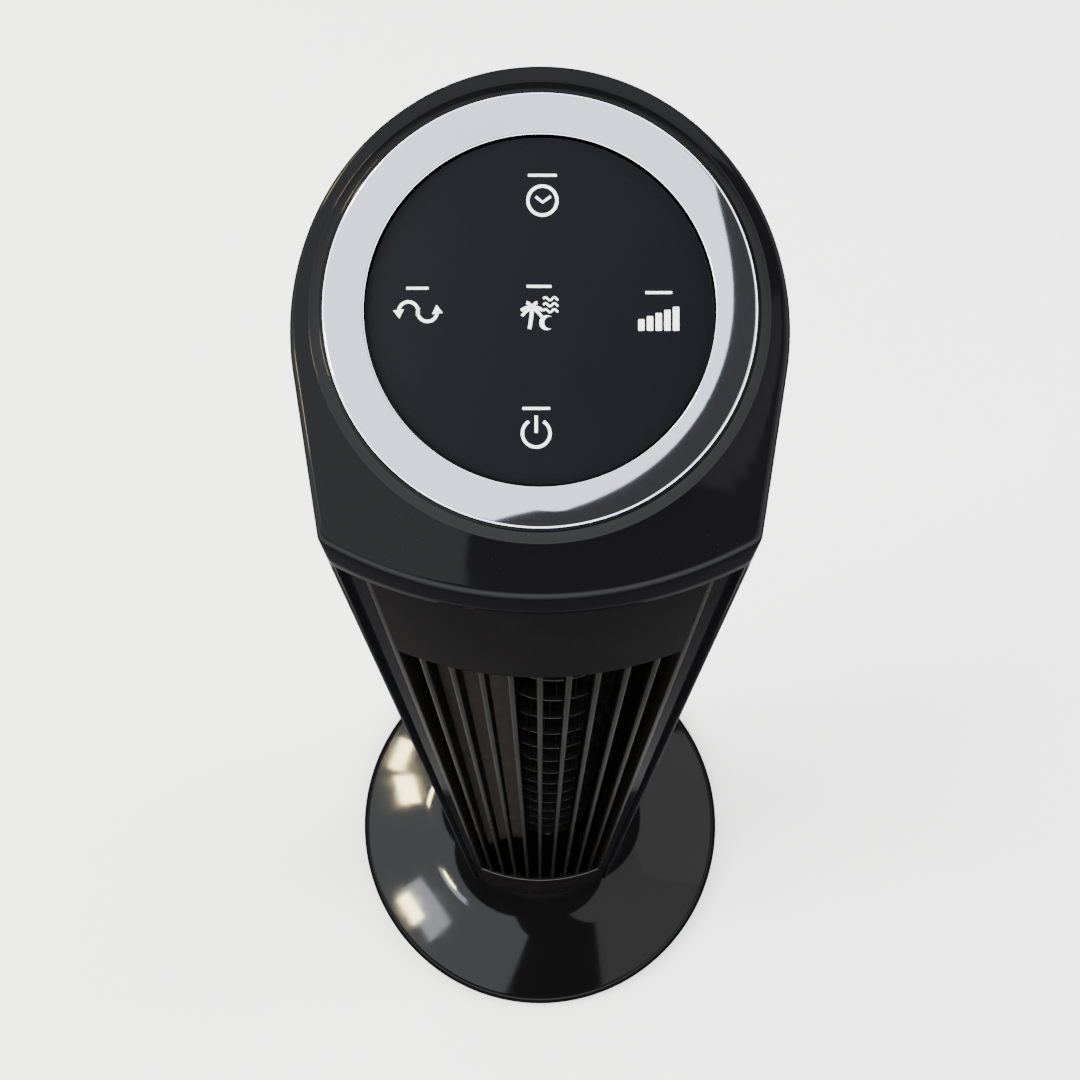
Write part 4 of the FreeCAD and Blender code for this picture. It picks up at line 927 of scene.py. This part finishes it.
# ------------------------------------------------------------------ studio

FLOOR_REACH = 4000.0
SENSOR_WIDTH = 36.0
FOCAL_LENGTH = SENSOR_WIDTH * 35 / 27
CAMERA_PLACE = (0.0, -0.141, 1.0582)
CAMERA_TILT = math.radians(18.9)

COOL = (0.9, 0.95, 1.0)
WHITE = (0.98, 0.97, 1.0)

# Flat lights above the camera, which the ring, the cap and the base mirror: name, centre in
# metres, size, turn about Z in degrees, brightness and colour.
CEILING_LIGHTS = (
    ("overhead", (-0.168, 0.683, 1.6), (1.3, 1.6), -28.5, 1.9, COOL),
    ("overhead_left", (-0.682, -0.233, 1.6), (1.27, 0.5), -28.5, 1.9, COOL),
    ("card_right", (0.8, 0.3, 1.6), (0.5, 0.8), 0, 1.2, WHITE),
    ("card_front", (0.68, -0.43, 1.6), (0.76, 0.66), 0, 1.0, WHITE),
    ("window_back", (-0.728, 0.556, 1.55), (0.055, 0.165), -20, 150, (1.0, 0.84, 0.4)),
    ("window_middle", (-0.71, 0.372, 1.55), (0.075, 0.15), 10, 150, (1.0, 0.84, 0.4)),
    ("window_front", (-0.641, -0.224, 1.55), (0.045, 0.145), 35, 150, (1.0, 0.84, 0.42)),
    ("window_haze", (-0.59, -0.238, 1.58), (0.1, 0.29), 37, 9, (0.85, 0.92, 1.0)),
)

# Large soft lights at the sides, aimed low at the fan: name, place in metres and power.
SIDE_LIGHTS = (
    ("key_left", (-2.4, -0.3, 1.9), 240),
    ("key_right", (2.4, 0.4, 1.9), 170),
    ("fill_front", (0.0, -2.9, 1.7), 40),
)

# How the room's brightness falls between two heights of the direction looked in.
HORIZON_TOP = 0.3
DARK_FROM = 0.8
HORIZON_LIGHT = 5.2
OVERHEAD_LIGHT = 0.06


def build_floor():
    """A pale floor under the fan."""
    reach = FLOOR_REACH
    verts = [(-reach, -reach, 0), (reach, -reach, 0), (reach, reach, 0), (-reach, reach, 0)]
    mesh = bpy.data.meshes.new("floor")
    mesh.from_pydata([tuple(Vector(v) * MM) for v in verts], [], [(0, 1, 2, 3)])
    mesh.materials.append(pale_floor())
    floor = bpy.data.objects.new("floor", mesh)
    bpy.context.scene.collection.objects.link(floor)


def build_camera():
    """The camera that looks steeply down at the cap, as in the photo."""
    lens = bpy.data.cameras.new("camera")
    lens.sensor_width = SENSOR_WIDTH
    lens.lens = FOCAL_LENGTH
    lens.clip_start = 0.01
    camera = bpy.data.objects.new("camera", lens)
    camera.location = CAMERA_PLACE
    camera.rotation_euler = (CAMERA_TILT, 0, 0)
    bpy.context.scene.collection.objects.link(camera)
    bpy.context.scene.camera = camera


def build_studio():
    """Pale floor, room, soft lights and camera."""
    build_floor()
    build_world()
    for light in CEILING_LIGHTS:
        ceiling_light(*light)
    for light in SIDE_LIGHTS:
        side_light(*light)
    build_camera()


def build_world():
    """A pale room that is bright towards the horizon and dark overhead."""
    world = bpy.data.worlds.new("studio")
    world.use_nodes = True
    tree = world.node_tree
    direction = tree.nodes.new("ShaderNodeTexCoord")
    split = tree.nodes.new("ShaderNodeSeparateXYZ")
    height = tree.nodes.new("ShaderNodeMapRange")
    height.interpolation_type = "SMOOTHSTEP"
    fall = (HORIZON_TOP, DARK_FROM, HORIZON_LIGHT, OVERHEAD_LIGHT)
    for index, value in enumerate(fall, start=1):
        height.inputs[index].default_value = value
    background = tree.nodes["Background"]
    background.inputs["Color"].default_value = (0.97, 0.98, 1.0, 1)
    tree.links.new(direction.outputs["Generated"], split.inputs["Vector"])
    tree.links.new(split.outputs["Z"], height.inputs["Value"])
    tree.links.new(height.outputs["Result"], background.inputs["Strength"])
    bpy.context.scene.world = world


def add_light(name, width, depth, power, colour):
    """A rectangular light, facing down until it is turned."""
    data = bpy.data.lights.new(name, "AREA")
    data.shape = "RECTANGLE"
    data.size = width
    data.size_y = depth
    data.energy = power
    data.color = colour
    light = bpy.data.objects.new(name, data)
    bpy.context.scene.collection.objects.link(light)
    return light


def ceiling_light(name, centre, size, turn, brightness, colour):
    """A flat light whose mirrored brightness doesn't depend on its size."""
    power = brightness * math.pi * size[0] * size[1]
    light = add_light(name, size[0], size[1], power, colour)
    light.location = centre
    light.rotation_euler = (0, 0, math.radians(turn))


def side_light(name, centre, power):
    """A soft light that isn't mirrored, or it would show as a pale crescent on the base's neck."""
    light = add_light(name, 1.8, 1.6, power, (1.0, 0.99, 0.98))
    light.visible_glossy = False
    light.location = centre
    aim = Vector((0, 0, 0.15)) - Vector(centre)
    light.rotation_euler = aim.to_track_quat("-Z", "Y").to_euler()


build_base()
build_cap()
build_ring_and_panel()
build_icons()
build_front()
build_trims()
build_rear_shell()
build_duct()
build_wheel()
finish_cad_nodes()
build_studio()
